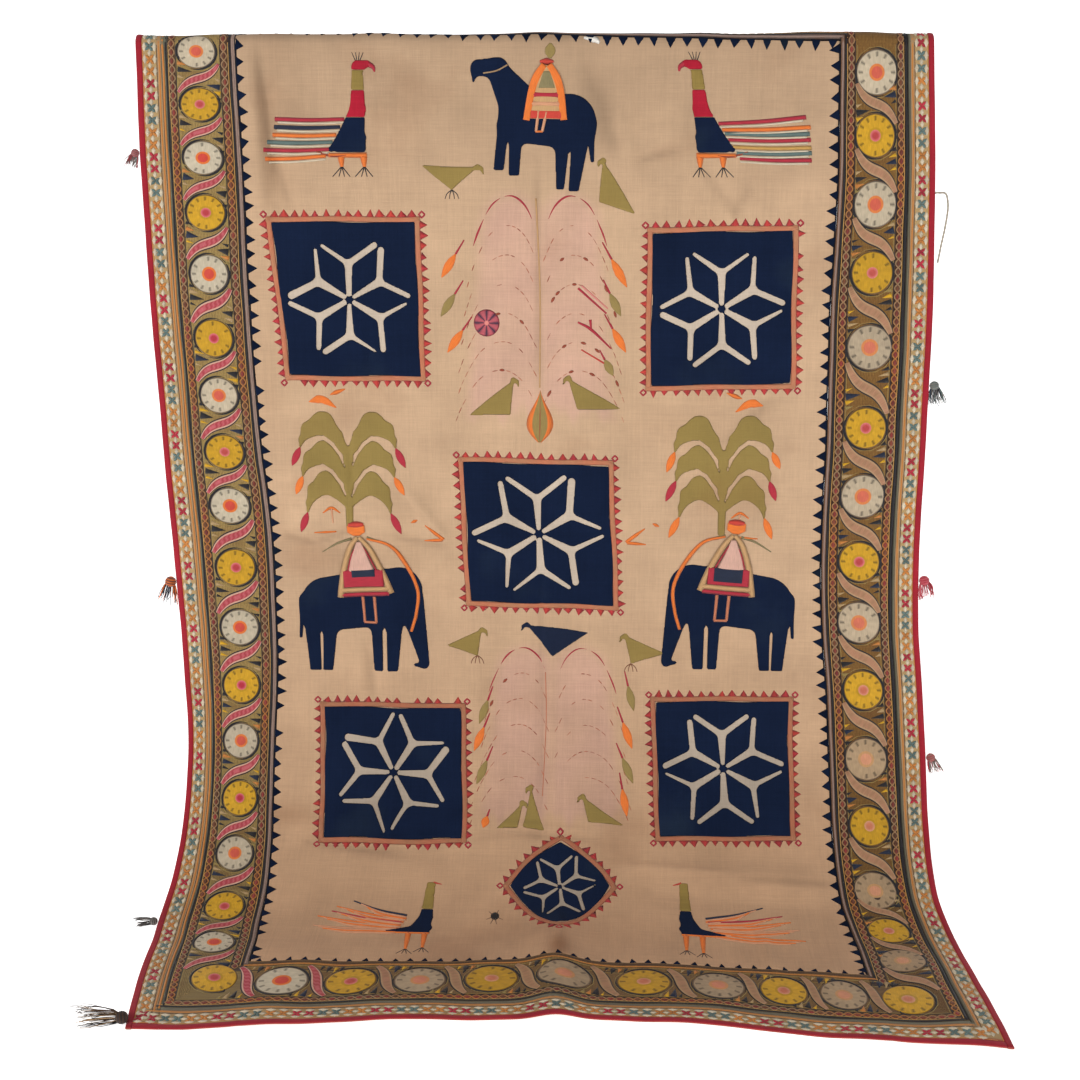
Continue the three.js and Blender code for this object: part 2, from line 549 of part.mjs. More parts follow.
// Cells of the field under a patch, raised to the layer in which patches lie.
function patchLayer(outline) {
  const low = {
    x: Math.min(...outline.map((place) => place.x)),
    along: Math.min(...outline.map((place) => place.along)),
  };
  const high = {
    x: Math.max(...outline.map((place) => place.x)),
    along: Math.max(...outline.map((place) => place.along)),
  };
  const rowAlong = FIELD_ROWS.map((row) => [1, 1.5, 2].map((across) => alongAt(across, row)));
  const firstRow = Math.max(0, rowAlong.findIndex((values) => Math.max(...values) > low.along) - 1);
  const lastFound = rowAlong.findIndex((values) => Math.min(...values) > high.along);
  const lastRow = lastFound < 0 ? FIELD_ROWS.length - 1 : lastFound;
  const columnX = FIELD_COLUMNS.map((across) => [low.along, high.along].map((along) => acrossAt(across, along)));
  const firstColumn = Math.max(0, columnX.findIndex((values) => Math.max(...values) > low.x) - 1);
  const lastColumnFound = columnX.findIndex((values) => Math.min(...values) > high.x);
  const lastColumn = lastColumnFound < 0 ? FIELD_COLUMNS.length - 1 : lastColumnFound;
  const cells = FIELD_GRID.slice(firstRow, lastRow + 1).map((row) => row.slice(firstColumn, lastColumn + 1));
  const under = FIELD_THICKNESS / 2 + SEAM_GAP;
  return toManifold(slabGeometry(cells, () => under, () => under + PATCH_THICKNESS));
}

// Closes a flat outline into a body that passes through the cloth, its walls square to the face.
function cutter(outline) {
  const facing = THREE.ShapeUtils.area(outline.map((place) => new THREE.Vector2(place.x, -place.along)));
  const ordered = facing > 0 ? outline : [...outline].reverse();
  const flat = ordered.map((place) => new THREE.Vector2(place.x, -place.along));
  const caps = THREE.ShapeUtils.triangulateShape(flat, []);
  const count = ordered.length;
  const frames = ordered.map(({ x, along }) => ({ point: clothPoint(x, along), normal: clothNormal(x, along) }));
  const face = frames.map(({ point, normal }) => point.clone().addScaledVector(normal, CUTTER_REACH));
  const back = frames.map(({ point, normal }) => point.clone().addScaledVector(normal, -CUTTER_REACH));
  const index = [];
  caps.forEach(([a, b, c]) => index.push(a, b, c, count + a, count + c, count + b));
  for (let here = 0; here < count; here += 1) {
    const next = (here + 1) % count;
    index.push(here, count + here, count + next, here, count + next, next);
  }
  const geometry = new THREE.BufferGeometry();
  geometry.setAttribute('position', new THREE.BufferAttribute(toPositions([...face, ...back]), 3));
  geometry.setIndex(index);
  return toManifold(geometry);
}

// Adds points along the long sides of an outline so that it follows the cloth.
function finerOutline(outline) {
  return outline.flatMap((here, index) => {
    const next = outline[(index + 1) % outline.length];
    const length = Math.hypot(next.x - here.x, next.along - here.along);
    const steps = Math.max(1, Math.ceil(length / OUTLINE_STEP));
    return Array.from({ length: steps }, (_, step) => ({
      x: here.x + ((next.x - here.x) * step) / steps,
      along: here.along + ((next.along - here.along) * step) / steps,
    }));
  });
}

function placeFlat({ x, along, facing = 1, size = 1, lean = 0 }, flatX, flatY) {
  return { x: x + facing * size * (flatX + lean * flatY), along: along - size * flatY };
}

function squareOutline({ x, along, width, height, taper, slant, turn, bulge = 0 }) {
  const angle = radians(turn);
  const corners = [[-1, 1], [1, 1], [1, -1], [-1, -1]].map(([sideX, sideY]) => {
    const flatX = (sideX * (width + (sideY * taper) / 2)) / 2 - (sideY * slant) / 2;
    const flatY = (sideY * height) / 2;
    const turnedX = flatX * Math.cos(angle) - flatY * Math.sin(angle);
    const turnedY = flatX * Math.sin(angle) + flatY * Math.cos(angle);
    return placeFlat({ x, along }, turnedX, turnedY);
  });
  return finerOutline(bulge > 0 ? bulgedOutline(corners, bulge) : corners);
}

// Bows the sides of a clockwise outline outward: four times the bulge times the share and the share left.
function bulgedOutline(corners, bulge) {
  return corners.flatMap((here, index) => {
    const next = corners[(index + 1) % corners.length];
    const runX = next.x - here.x;
    const runAlong = next.along - here.along;
    const length = Math.hypot(runX, runAlong);
    const bowed = BULGE_SHARES.map((share) => {
      const out = (4 * bulge * share * (1 - share)) / length;
      return { x: here.x + runX * share + runAlong * out, along: here.along + runAlong * share - runX * out };
    });
    return [here, ...bowed];
  });
}

// One of the forked cuts that draw the star: a stem from the middle to a notch, and an arm to each near tip.
function forkOutline(patch, turnIndex) {
  const { tip, notch, starTurn } = patch;
  const stepAngle = 360 / STAR_POINTS;
  const middle = starTurn + stepAngle * (turnIndex + 0.5);
  const polar = (radius, degrees) =>
    new THREE.Vector2(radius * Math.cos(radians(degrees)), radius * Math.sin(radians(degrees)));
  const fork = polar(notch, middle);
  const swing = stepAngle / 2 - STAR_CUT.armTurn;
  const arms = [
    { end: polar(tip * STAR_CUT.stemStart, middle), width: STAR_CUT.stemEndWidth },
    { end: polar(tip * STAR_CUT.armReach, middle - swing), width: STAR_CUT.armEndWidth },
    { end: polar(tip * STAR_CUT.armReach, middle + swing), width: STAR_CUT.armEndWidth },
  ];
  const outline = [];
  arms.forEach((arm, index) => {
    const next = arms[(index + 1) % arms.length];
    const way = arm.end.clone().sub(fork).normalize();
    const nextWay = next.end.clone().sub(fork).normalize();
    const side = new THREE.Vector2(-way.y, way.x);
    const halfEnd = (arm.width * tip) / 2;
    outline.push(arm.end.clone().addScaledVector(side, -halfEnd), arm.end.clone().addScaledVector(side, halfEnd));
    const bisector = way.clone().add(nextWay).normalize();
    const turnSide = Math.sign(way.x * nextWay.y - way.y * nextWay.x) || 1;
    const halfAngle = Math.acos(Math.min(1, Math.max(-1, way.dot(nextWay)))) / 2;
    const corner = (STAR_CUT.waistWidth * tip) / 2 / Math.sin(halfAngle);
    outline.push(fork.clone().addScaledVector(bisector, turnSide * corner));
  });
  return outline.map((place) => placeFlat(patch, place.x, place.y));
}

function starPatch(patch) {
  const outline = squareOutline(patch);
  const cloth = patchLayer(outline).intersect(cutter(outline));
  const forks = Array.from({ length: STAR_POINTS }, (_, index) => cutter(forkOutline(patch, index)));
  return makeMesh(patch.name, toGeometry(cloth.subtract(Manifold.union(forks))), COLOURS.navy);
}

// Rounded stroke: two round ends of their own radii joined by straight sides.
function strokeOutline(figure, stroke) {
  const runX = stroke.toX - stroke.fromX;
  const runY = stroke.toY - stroke.fromY;
  const heading = Math.atan2(runY, runX);
  const flare = Math.acos((stroke.fromRadius - stroke.toRadius) / Math.hypot(runX, runY));
  const arc = (centreX, centreY, radius, start, end) =>
    Array.from({ length: STROKE_END_POINTS }, (_, index) => {
      const angle = start + ((end - start) * index) / (STROKE_END_POINTS - 1);
      return placeFlat(figure, centreX + radius * Math.cos(angle), centreY + radius * Math.sin(angle));
    });
  return finerOutline([
    ...arc(stroke.toX, stroke.toY, stroke.toRadius, heading - flare, heading + flare),
    ...arc(stroke.fromX, stroke.fromY, stroke.fromRadius, heading + flare, heading + 2 * Math.PI - flare),
  ]);
}

// A palm leaf rises from the stem to its crown, bends over and falls to its tip.
function palmStrokes() {
  const leaves = PALM_LEAVES.flatMap((leaf) => [-1, 1].flatMap((side) => {
    const spots = LEAF_STATIONS.map(({ part, out, fall, radius }) => ({
      x: side * leaf.reach * out,
      y: part === 'root' ? leaf.rootY : leaf.crownY + (leaf.tipY - leaf.crownY) * fall,
      radius,
    }));
    return spots.slice(1).map((spot, index) => ({
      fromX: spots[index].x, fromY: spots[index].y, fromRadius: spots[index].radius,
      toX: spot.x, toY: spot.y, toRadius: spot.radius,
    }));
  }));
  return [PALM_STEM, ...leaves];
}

const FIGURE_STROKES = {
  elephant: ELEPHANT_STROKES,
  horse: HORSE_STROKES,
  peacock: PEACOCK_STROKES,
  palm: palmStrokes(),
};

function figurePatch(figure) {
  const outlines = FIGURE_STROKES[figure.kind].map((stroke) => strokeOutline(figure, stroke));
  const cloth = patchLayer(outlines.flat()).intersect(Manifold.union(outlines.map(cutter)));
  return makeMesh(figure.name, toGeometry(cloth), figure.kind === 'palm' ? COLOURS.olive : COLOURS.navy);
}

// Thread of three flat sides along a bent line, closed at both ends.
function strandGeometry(places) {
  const points = [];
  const index = [];
  const last = places.length - 1;
  places.forEach((place, step) => {
    const way = places[Math.min(last, step + 1)].clone().sub(places[Math.max(0, step - 1)]).normalize();
    const side = new THREE.Vector3(0, 1, 0).cross(way).normalize();
    const lift = way.clone().cross(side);
    const radius = STRAND_ROOT_RADIUS + ((STRAND_TIP_RADIUS - STRAND_ROOT_RADIUS) * step) / last;
    for (let corner = 0; corner < STRAND_SIDES; corner += 1) {
      const angle = (2 * Math.PI * corner) / STRAND_SIDES;
      points.push(place.clone()
        .addScaledVector(side, radius * Math.cos(angle))
        .addScaledVector(lift, radius * Math.sin(angle)));
    }
  });
  for (let step = 0; step < last; step += 1) {
    for (let corner = 0; corner < STRAND_SIDES; corner += 1) {
      const next = (corner + 1) % STRAND_SIDES;
      const low = step * STRAND_SIDES;
      const high = low + STRAND_SIDES;
      index.push(low + corner, low + next, high + next, low + corner, high + next, high + corner);
    }
  }
  index.push(0, 2, 1);
  index.push(last * STRAND_SIDES, last * STRAND_SIDES + 1, last * STRAND_SIDES + 2);
  const geometry = new THREE.BufferGeometry();
  geometry.setAttribute('position', new THREE.BufferAttribute(toPositions(points), 3));
  geometry.setIndex(index);
  return geometry;
}

function edgePlace(side, along, out) {
  const line = side < 0 ? 'leftEdge' : 'rightEdge';
  const x = curveAt(SECTIONS, 'along', line, along);
  return clothPoint(x, along).add(new THREE.Vector3(side * out, 0, 0));
}

// A wound head at the edge with threads that fan from it and bend toward the ground.
function tassel(row) {
  const floor = profileAt(TRACE_END).z - BINDING_MID_THICKNESS / 2 + FLOOR_CLEARANCE;
  const rise = Math.max(0, floor + row.head - edgePlace(row.side, row.along, 0).z);
  const aboveEdge = Math.max(0, rise - BINDING_EDGE_THICKNESS / 2);
  const centre = edgePlace(row.side, row.along, SEAM_GAP + Math.sqrt(row.head ** 2 - aboveEdge ** 2));
  centre.z += rise;
  const head = new THREE.SphereGeometry(row.head, HEAD_SIDES, HEAD_RINGS).translate(centre.x, centre.y, centre.z);
  const way = new THREE.Vector3(row.side * row.out, -row.front, -row.down).normalize();
  const side = new THREE.Vector3(0, 1, 0).cross(way).normalize();
  const lift = way.clone().cross(side);
  const strands = Array.from({ length: row.strands }, (_, index) => {
    const turn = (2 * Math.PI * (index + 0.5)) / row.strands;
    const fan = side.clone().multiplyScalar(Math.cos(turn)).addScaledVector(lift, Math.abs(Math.sin(turn)));
    const root = centre.clone().addScaledVector(fan, row.head * 0.4);
    const length = row.length * (index % 2 ? 1 : 0.86);
    const places = Array.from({ length: STRAND_STEPS + 1 }, (__, step) => {
      const t = step / STRAND_STEPS;
      const place = root.clone()
        .addScaledVector(way, t * (row.head * 0.5 + length))
        .addScaledVector(fan, STRAND_SPREAD * length * t * (1.4 - 0.6 * t));
      place.z = Math.max(place.z, floor + STRAND_ROOT_RADIUS);
      return place;
    });
    return toManifold(strandGeometry(places));
  });
  return makeMesh(row.name, toGeometry(Manifold.union([toManifold(head), ...strands])), row.colour);
}

// Free cord from the right edge: out, over and down to its cut end.
function tieCord() {
  const radius = TIE_DIAMETER / 2;
  const start = edgePlace(1, TIE_ALONG, SEAM_GAP);
  const route = TIE_ROUTE.map(({ out, front, up }) => start.clone().add(new THREE.Vector3(out, -front, up)));
  const ring = Array.from({ length: TIE_SIDES }, (_, index) => {
    const angle = (2 * Math.PI * index) / TIE_SIDES;
    return new THREE.Vector2(radius * Math.cos(angle), radius * Math.sin(angle));
  });
  const geometry = new THREE.ExtrudeGeometry(new THREE.Shape(ring), {
    steps: TIE_STEPS,
    bevelEnabled: false,
    extrudePath: new THREE.CatmullRomCurve3(route),
  });
  return makeMesh('tie_cord', geometry, COLOURS.tie);
}

const hanging = new THREE.Group();
hanging.name = 'wall_hanging';
CLOTH_PIECES.forEach((piece) => {
  const geometry = slabGeometry(clothGrid(piece), piece.thickness.low, piece.thickness.high);
  hanging.add(makeMesh(piece.name, geometry, piece.colour));
});
STAR_PATCHES.forEach((patch) => hanging.add(starPatch(patch)));
FIGURES.forEach((figure) => hanging.add(figurePatch(figure)));
TASSELS.forEach((row) => hanging.add(tassel(row)));
hanging.add(tieCord());

export default hanging;
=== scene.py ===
"""Looks of an embroidered cotton hanging.

The cloth is one bent surface. A place on it is its distance across and its distance along from the top
fold, and sheets, sewn-on patches and stitches are laid on that surface at small heights out of its worked
face. Tables and flat places are in millimetres, and the finished meshes are in metres.
"""

import logging
import math
from dataclasses import dataclass, field
from enum import Enum
from itertools import zip_longest
from typing import Any, Callable, NamedTuple, Protocol, Sequence, TypeVar

import bpy
import numpy as np
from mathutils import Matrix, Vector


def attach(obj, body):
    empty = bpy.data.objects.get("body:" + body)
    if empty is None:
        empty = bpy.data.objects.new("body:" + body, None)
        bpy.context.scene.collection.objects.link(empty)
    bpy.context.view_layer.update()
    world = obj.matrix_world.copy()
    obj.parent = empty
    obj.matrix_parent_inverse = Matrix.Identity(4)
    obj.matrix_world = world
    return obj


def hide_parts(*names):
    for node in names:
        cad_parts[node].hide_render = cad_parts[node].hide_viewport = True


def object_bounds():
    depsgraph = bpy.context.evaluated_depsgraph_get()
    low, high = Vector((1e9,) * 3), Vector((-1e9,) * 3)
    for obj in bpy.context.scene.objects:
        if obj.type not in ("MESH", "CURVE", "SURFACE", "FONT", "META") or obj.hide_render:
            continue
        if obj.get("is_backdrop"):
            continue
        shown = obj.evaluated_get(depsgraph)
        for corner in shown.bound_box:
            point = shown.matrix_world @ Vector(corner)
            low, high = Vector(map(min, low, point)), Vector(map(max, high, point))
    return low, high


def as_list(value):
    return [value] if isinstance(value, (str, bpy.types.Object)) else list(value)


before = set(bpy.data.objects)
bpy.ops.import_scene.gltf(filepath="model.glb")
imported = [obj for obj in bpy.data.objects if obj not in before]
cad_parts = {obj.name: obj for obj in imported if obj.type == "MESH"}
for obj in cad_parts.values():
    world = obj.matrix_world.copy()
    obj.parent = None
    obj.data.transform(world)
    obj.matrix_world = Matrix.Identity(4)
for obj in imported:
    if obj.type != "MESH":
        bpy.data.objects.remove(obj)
CAD_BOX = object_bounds()
BODY = "root"
MM = 0.001
LOG = logging.getLogger("hanging")
Array = np.ndarray
Pair = tuple[float, float]
Triple = tuple[float, float, float]
Piece = bpy.types.Object
Material = bpy.types.Material
Row = TypeVar("Row")


class Section(NamedTuple):
    """A section across the cloth: distance along, slope in degrees, and its edges and inner seams across."""

    along: float
    slope: float
    left_edge: float
    left_seam: float
    right_seam: float
    right_edge: float


class End(NamedTuple):
    """Where the top seam, the bottom seam and the hem lie along, from left edge 0 to right edge 3."""

    across: float
    top_seam: float
    bottom_seam: float
    hem: float


class Fold(NamedTuple):
    """A soft straight fold: its two ends, half width and height out of the worked face."""

    from_x: float
    from_along: float
    to_x: float
    to_along: float
    half_width: float
    height: float


class Ripple(NamedTuple):
    """A faint wave of the cloth: wave lengths across and along, its start and its height."""

    across: float
    along: float
    start: float
    height: float


class Stroke(NamedTuple):
    """A rounded stroke of a figure: ends and end radii, x to the figure's front and y up from its middle."""

    from_x: float
    from_y: float
    from_radius: float
    to_x: float
    to_y: float
    to_radius: float


def table(kind: Callable[..., Row], *rows: Sequence[Any]) -> tuple[Row, ...]:
    """Rows of plain values, each made into its kind."""
    return tuple(kind(*row) for row in rows)


SECTIONS = table(
    Section,
    (-240, 180, -617, -459, 477, 619), (-22, 180, -617, -459, 477, 619), (0, 90, -617, -459, 477, 619),
    (22, 2.6, -617, -459, 477, 620), (228, 2.6, -619, -456, 484, 634), (438, 2.6, -616, -454, 481, 642),
    (648, 2.6, -608, -445, 484, 644), (808, 2.6, -601, -432, 483, 644), (948, 2.6, -595, -431, 490, 650),
    (1058, 10.2, -591, -431, 501, 662), (1168, 23.6, -582, -434, 507, 668),
    (1278, 38.6, -579, -430, 508, 668), (1408, 61.5, -579, -420, 511, 668),
    (1488, 79, -580, -418, 520, 677), (1548, 90, -575, -412, 525, 683), (1648, 90, -566, -405, 528, 690),
    (1840, 90, -536, -380, 538, 704),
)
ENDS = table(
    End,
    (0, -14, 1609, 1784), (1, -12, 1608, 1773), (1.23, -4, 1595, 1748), (1.45, 4, 1586, 1738),
    (1.7, 12, 1586, 1738), (2, 18, 1604, 1769), (3, 20, 1606, 1779),
)
FOLDS = table(
    Fold,
    (-438, -10, -424, 330, 17, 9), (-414, 40, -400, 290, 13, -6), (-248, 560, -226, 1240, 34, 6),
    (-440, 828, -130, 830, 13, -4), (-218, 700, -132, 834, 14, 4), (390, 60, 410, 760, 70, -7),
    (575, 250, 560, 1150, 60, 8), (-560, 500, -525, 1450, 55, 8), (-470, 1336, -60, 1338, 24, -7),
    (-440, 1292, -40, 1296, 22, 5), (130, 1368, 540, 1398, 22, 7), (150, 1412, 540, 1440, 22, -5),
    (52, 1440, 66, 1800, 38, 14), (-330, 1520, -352, 1820, 48, 5), (610, 1500, 660, 1830, 60, 7),
)
CREASES = table(
    Fold,
    (12, 150, 17, 580, 6, -2.6), (18, 690, 24, 1420, 6, -2.2), (-426, 0, -410, 230, 7, -2.4),
    (-413, 180, -376, 282, 8, -2.4), (-420, 806, -350, 824, 6.5, -3.2), (-368, 826, -290, 794, 6.5, -3.4),
    (-380, 840, -300, 806, 7, 2.6), (-240, 806, -126, 828, 6.5, -3.2), (-127, 828, -194, 896, 6.5, 3.2),
    (-220, 708, -128, 824, 6.5, 3), (-284, 956, -291, 1100, 7, 3.2), (-271, 996, -267, 1104, 7, -3),
    (74, 24, 154, 214, 20, -3.4), (136, 110, 174, 240, 14, 4), (144, 203, 250, 178, 6.5, -3),
    (160, 160, 236, 142, 8, 2.4), (316, 288, 356, 230, 7, -2), (255, 190, 345, 300, 9, -1.8),
    (232, 230, 196, 330, 9, 2.8), (410, 560, 300, 660, 9, -3), (120, 1366, 360, 1384, 7, 3.4),
    (330, 1390, 530, 1392, 7, -3.2), (-60, 1296, 130, 1312, 7, 3.6), (-50, 1312, 140, 1324, 7, -3.2),
    (-395, 1330, -190, 1352, 8, -3.4), (-190, 1350, 20, 1318, 8, 3.2), (60, 1440, 63, 1585, 8, 3.2),
    (-300, 640, -288, 760, 8, -2.8), (-250, 940, -240, 1080, 9, 2.6), (380, 1480, 392, 1620, 10, 2.6),
)
RIPPLES = table(
    Ripple,
    (410, 260, 0.4, 0.9), (-230, 540, 1.9, 0.8), (130, 190, 0.9, 0.35), (-84, 310, 2.6, 0.25),
    (620, 74, 4.1, 0.3),
)
FOLD_END_FADE = 0.3
# Where painted shade toward the foot of the hanging rises from none to full.
FOOT_RUN = (820.0, 1560.0)
FIELD_LENGTH = 1600.0
BORDER_WIDTH = 158.0
BINDING_WIDTH = 9.5
BAND_EDGE = 45.0
SEAM_GAP = 0.3
BORDER_SEED = 11
BAND_SEED = 23
TREE_SEED = 81
STAR_SEED = 100
TASSEL_SEED = 200
LEAST_LENGTH = 1e-12


class Dye(Enum):
    """Colours of cloth and thread, as red, green and blue from 0 to 255."""

    COTTON = (197, 164, 132)
    NAVY = (20, 31, 55)
    INK = (26, 23, 27)
    CRIMSON = (172, 36, 54)
    SCARLET = (198, 62, 48)
    ROSE = (208, 98, 108)
    PINK = (208, 164, 146)
    SALMON = (196, 118, 84)
    ORANGE = (226, 116, 42)
    MUSTARD = (206, 156, 24)
    GOLD = (192, 148, 78)
    CREAM = (206, 192, 166)
    OLIVE = (145, 123, 68)
    SLATE = (92, 112, 108)
    BROWN = (122, 74, 44)
    RUST = (146, 62, 38)
    TAN = (168, 134, 96)
    MAUVE = (150, 124, 112)
    LICHEN = (126, 122, 100)
    MOSS = (152, 124, 74)
    GREY = (132, 124, 118)
    WINE = (156, 32, 46)
    STRAW = (174, 144, 100)
    SOIL = (74, 50, 34)
    OCHRE = (192, 122, 54)
    PEACH = (206, 148, 112)
    BLUSH = (218, 132, 122)
    WHEAT = (194, 152, 104)
    DRAB = (132, 120, 82)
    CHALK = (234, 228, 218)

    @property
    def rgb(self) -> Array:
        """The colour as linear red, green and blue from 0 to 1."""
        share = np.array(self.value, float) / 255.0
        return np.where(share <= 0.04045, share / 12.92, ((share + 0.055) / 1.055) ** 2.4)


def mixed(first: Dye, second: Dye, share: Array | float) -> Array:
    """Blends two thread colours.

    Args:
        first: Colour at share 0.
        second: Colour at share 1.
        share: How far toward the second, of any shape.

    Returns:
        Linear colours, one for each share.
    """
    share = np.asarray(share, float)[..., None]
    return first.rgb * (1.0 - share) + second.rgb * share


def linear_dyes(dyes: Sequence[Dye]) -> Array:
    """Linear colours of a few threads, one to a row."""
    return np.stack([dye.rgb for dye in dyes])


def smooth_step(low: float, high: float, value: Array) -> Array:
    """Soft rise from 0 at low to 1 at high: three times the square less twice the cube of the share."""
    share = np.clip((value - low) / (high - low), 0.0, 1.0)
    return share * share * (3.0 - 2.0 * share)


def curve_through(stations: Array, values: Array, at: Array) -> Array:
    """A smooth curve through a table, level at each row with the line through the rows on either side.

    Args:
        stations: Rising places of the rows.
        values: Values of the rows.
        at: Places to read, of any shape.

    Returns:
        The cubic between the two rows about each place.
    """
    at = np.asarray(at, float)
    index = np.clip(np.searchsorted(stations[1:], at), 0, len(stations) - 2)
    low = np.maximum(np.arange(len(stations)) - 1, 0)
    high = np.minimum(np.arange(len(stations)) + 1, len(stations) - 1)
    slopes = (values[high] - values[low]) / (stations[high] - stations[low])
    span = stations[index + 1] - stations[index]
    share = np.clip((at - stations[index]) / span, 0.0, 1.0)
    rise = share * share * (3.0 - 2.0 * share)
    low_bend = share * (1.0 - share) ** 2 * span * slopes[index]
    high_bend = share * share * (share - 1.0) * span * slopes[index + 1]
    return values[index] + rise * (values[index + 1] - values[index]) + low_bend + high_bend


def spread(*runs: Triple) -> Array:
    """Rising places that fill runs, each given as its start, its end and about how far apart."""
    parts = [np.linspace(a, b, max(1, round(abs(b - a) / step)), endpoint=False) for a, b, step in runs]
    return np.concatenate([*parts, [runs[-1][1]]])


def unit(vectors: Array) -> Array:
    """Vectors on the last axis, each made one long."""
    return vectors / np.maximum(np.linalg.norm(vectors, axis=-1, keepdims=True), LEAST_LENGTH)


def run_length(lines: Array) -> Array:
    """Length run along each line up to each of its stations, for lines by stations by axes."""
    return np.cumsum(np.linalg.norm(np.diff(lines, axis=1, prepend=lines[:, :1]), axis=2), axis=1)


def ways(turn: Array) -> Array:
    """Flat directions of angles, as angles by 2."""
    return np.stack([np.cos(turn), np.sin(turn)], axis=1)


def circle(points: int) -> Array:
    """Angles of points spaced evenly round a circle."""
    return 2.0 * math.pi * np.arange(points) / points


def bent_line(corners: Sequence[Pair], count: int) -> Array:
    """Evenly shared places on a smooth line through a few corners, as a count by 2 array."""
    places = np.array(corners, float)
    stations = np.arange(len(places), dtype=float)
    at = np.linspace(0.0, len(places) - 1.0, count)
    return np.stack([curve_through(stations, places[:, axis], at) for axis in (0, 1)], axis=1)


@dataclass
class Cloth:
    """The bent surface that every piece lies on.

    Its side view is traced by even bends from one section's slope to the next, and folds, creases and faint
    ripples raise it out of that line along the way that it faces.
    """

    thickness: float = 1.6
    trace_start: int = -240
    trace_end: int = 1840
    normal_step: float = 1.5
    top_settle: float = 260.0
    bottom_settle: float = 1250.0
    stations: Array = field(init=False)
    slopes: Array = field(init=False)
    lines: Array = field(init=False)
    ends: Array = field(init=False)
    trace: Array = field(init=False)

    def __post_init__(self) -> None:
        """Traces the side view in steps of a millimetre, with the top of the fold at its origin."""
        table = np.array(SECTIONS, float)
        self.stations, self.slopes, self.lines = table[:, 0], table[:, 1], table[:, 2:].T
        self.ends = np.array(ENDS, float)
        steps = np.arange(self.trace_start, self.trace_end + 1, dtype=float)
        slope = np.radians(np.interp(steps + 0.5, self.stations, self.slopes))
        y = np.concatenate([[0.0], -np.cumsum(np.sin(slope))[:-1]])
        z = np.concatenate([[0.0], -np.cumsum(np.cos(slope))[:-1]])
        crest = -self.trace_start
        self.trace = np.stack([steps, y - y[crest], z - z[crest] + self.thickness / 2.0])

    def height(self, x: Array, along: Array) -> Array:
        """Height of folds and creases as bells, and of ripples as sine waves."""
        total = self.ridges(x, along, FOLDS + CREASES)
        for ripple in RIPPLES:
            turn = x / ripple.across + along / ripple.along
            total += ripple.height * np.sin(2.0 * math.pi * turn + ripple.start)
        return total

    def ridges(self, x: Array, along: Array, folds: Sequence[Fold]) -> Array:
        """Height of bell-shaped ridges and troughs that fade at their ends."""
        total = np.zeros(np.broadcast(x, along).shape)
        for fold in folds:
            run_x, run_along = fold.to_x - fold.from_x, fold.to_along - fold.from_along
            length = math.hypot(run_x, run_along)
            share = ((x - fold.from_x) * run_x + (along - fold.from_along) * run_along) / length**2
            aside = ((x - fold.from_x) * run_along - (along - fold.from_along) * run_x) / length
            fade = smooth_step(0.0, FOLD_END_FADE, share) * smooth_step(0.0, FOLD_END_FADE, 1.0 - share)
            total += fold.height * fade * np.exp(-((aside / fold.half_width) ** 2))
        return total

    def middle(self, x: Array, along: Array) -> Array:
        """Places in the middle of the cloth's thickness, in millimetres, with x, y and z on the last axis."""
        slope = np.radians(np.interp(along, self.stations, self.slopes))
        y = np.interp(along, self.trace[0], self.trace[1])
        z = np.interp(along, self.trace[0], self.trace[2])
        height = self.height(x, along)
        return np.stack([x + 0.0 * y, y - height * np.cos(slope), z + height * np.sin(slope)], axis=-1)

    def place(self, x: Array, along: Array, lift: Array | float) -> Array:
        """Lays flat places on the cloth.

        The way that the cloth faces is the cross product of its run downward and its run across.

        Args:
            x: Distance across.
            along: Distance along from the top fold.
            lift: Height out of the worked face, from the middle of the cloth.

        Returns:
            Points in metres on the last axis.
        """
        x, along, lift = (np.asarray(part, float) for part in np.broadcast_arrays(x, along, lift))
        step = self.normal_step
        across = self.middle(x + step, along) - self.middle(x - step, along)
        down = self.middle(x, along + step) - self.middle(x, along - step)
        return (self.middle(x, along) + unit(np.cross(down, across)) * lift[..., None]) * MM

    def line_x(self, across: Array, along: Array) -> Array:
        """X of a line that lies at an across measure from 0, the left edge, to 3, the right edge."""
        across, along = np.broadcast_arrays(np.asarray(across, float), np.asarray(along, float))
        lines = np.stack([curve_through(self.stations, line, along) for line in self.lines])
        index = np.clip(np.floor(across).astype(int), 0, 2)
        low = np.take_along_axis(lines, index[None], axis=0)[0]
        high = np.take_along_axis(lines, index[None] + 1, axis=0)[0]
        return low + (across - index) * (high - low)

    def across_of(self, x: Array, along: float) -> Array:
        """The across measure of an x, read where the cloth is this far along."""
        lines = [float(curve_through(self.stations, line, np.array(along))) for line in self.lines]
        return np.interp(x, lines, [0.0, 1.0, 2.0, 3.0])

    def row_along(self, across: Array, row: Array) -> Array:
        """Distance along of a row of the cut cloth, from 0 at the top seam to 1600 at the bottom seam."""
        across, row = np.broadcast_arrays(np.asarray(across, float), np.asarray(row, float))
        top, bottom, hem = (curve_through(self.ends[:, 0], end, across) for end in self.ends[:, 1:].T)
        top_share = 1.0 - smooth_step(0.0, self.top_settle, row)
        bottom_share = smooth_step(self.bottom_settle, FIELD_LENGTH, row)
        inside = row + top * top_share + (bottom - FIELD_LENGTH) * bottom_share
        below = bottom + (row - FIELD_LENGTH) * (hem - bottom) / BORDER_WIDTH
        return np.where(row <= 0.0, row + top, np.where(row <= FIELD_LENGTH, inside, below))


CLOTH = Cloth()


class Ground(Protocol):
    """Flat ground that stitches are drawn on before they are laid on the cloth."""

    turned: bool

    def lay(self, first: Array, second: Array) -> tuple[Array, Array]:
        """Turns flat places on this ground into distances across and along."""


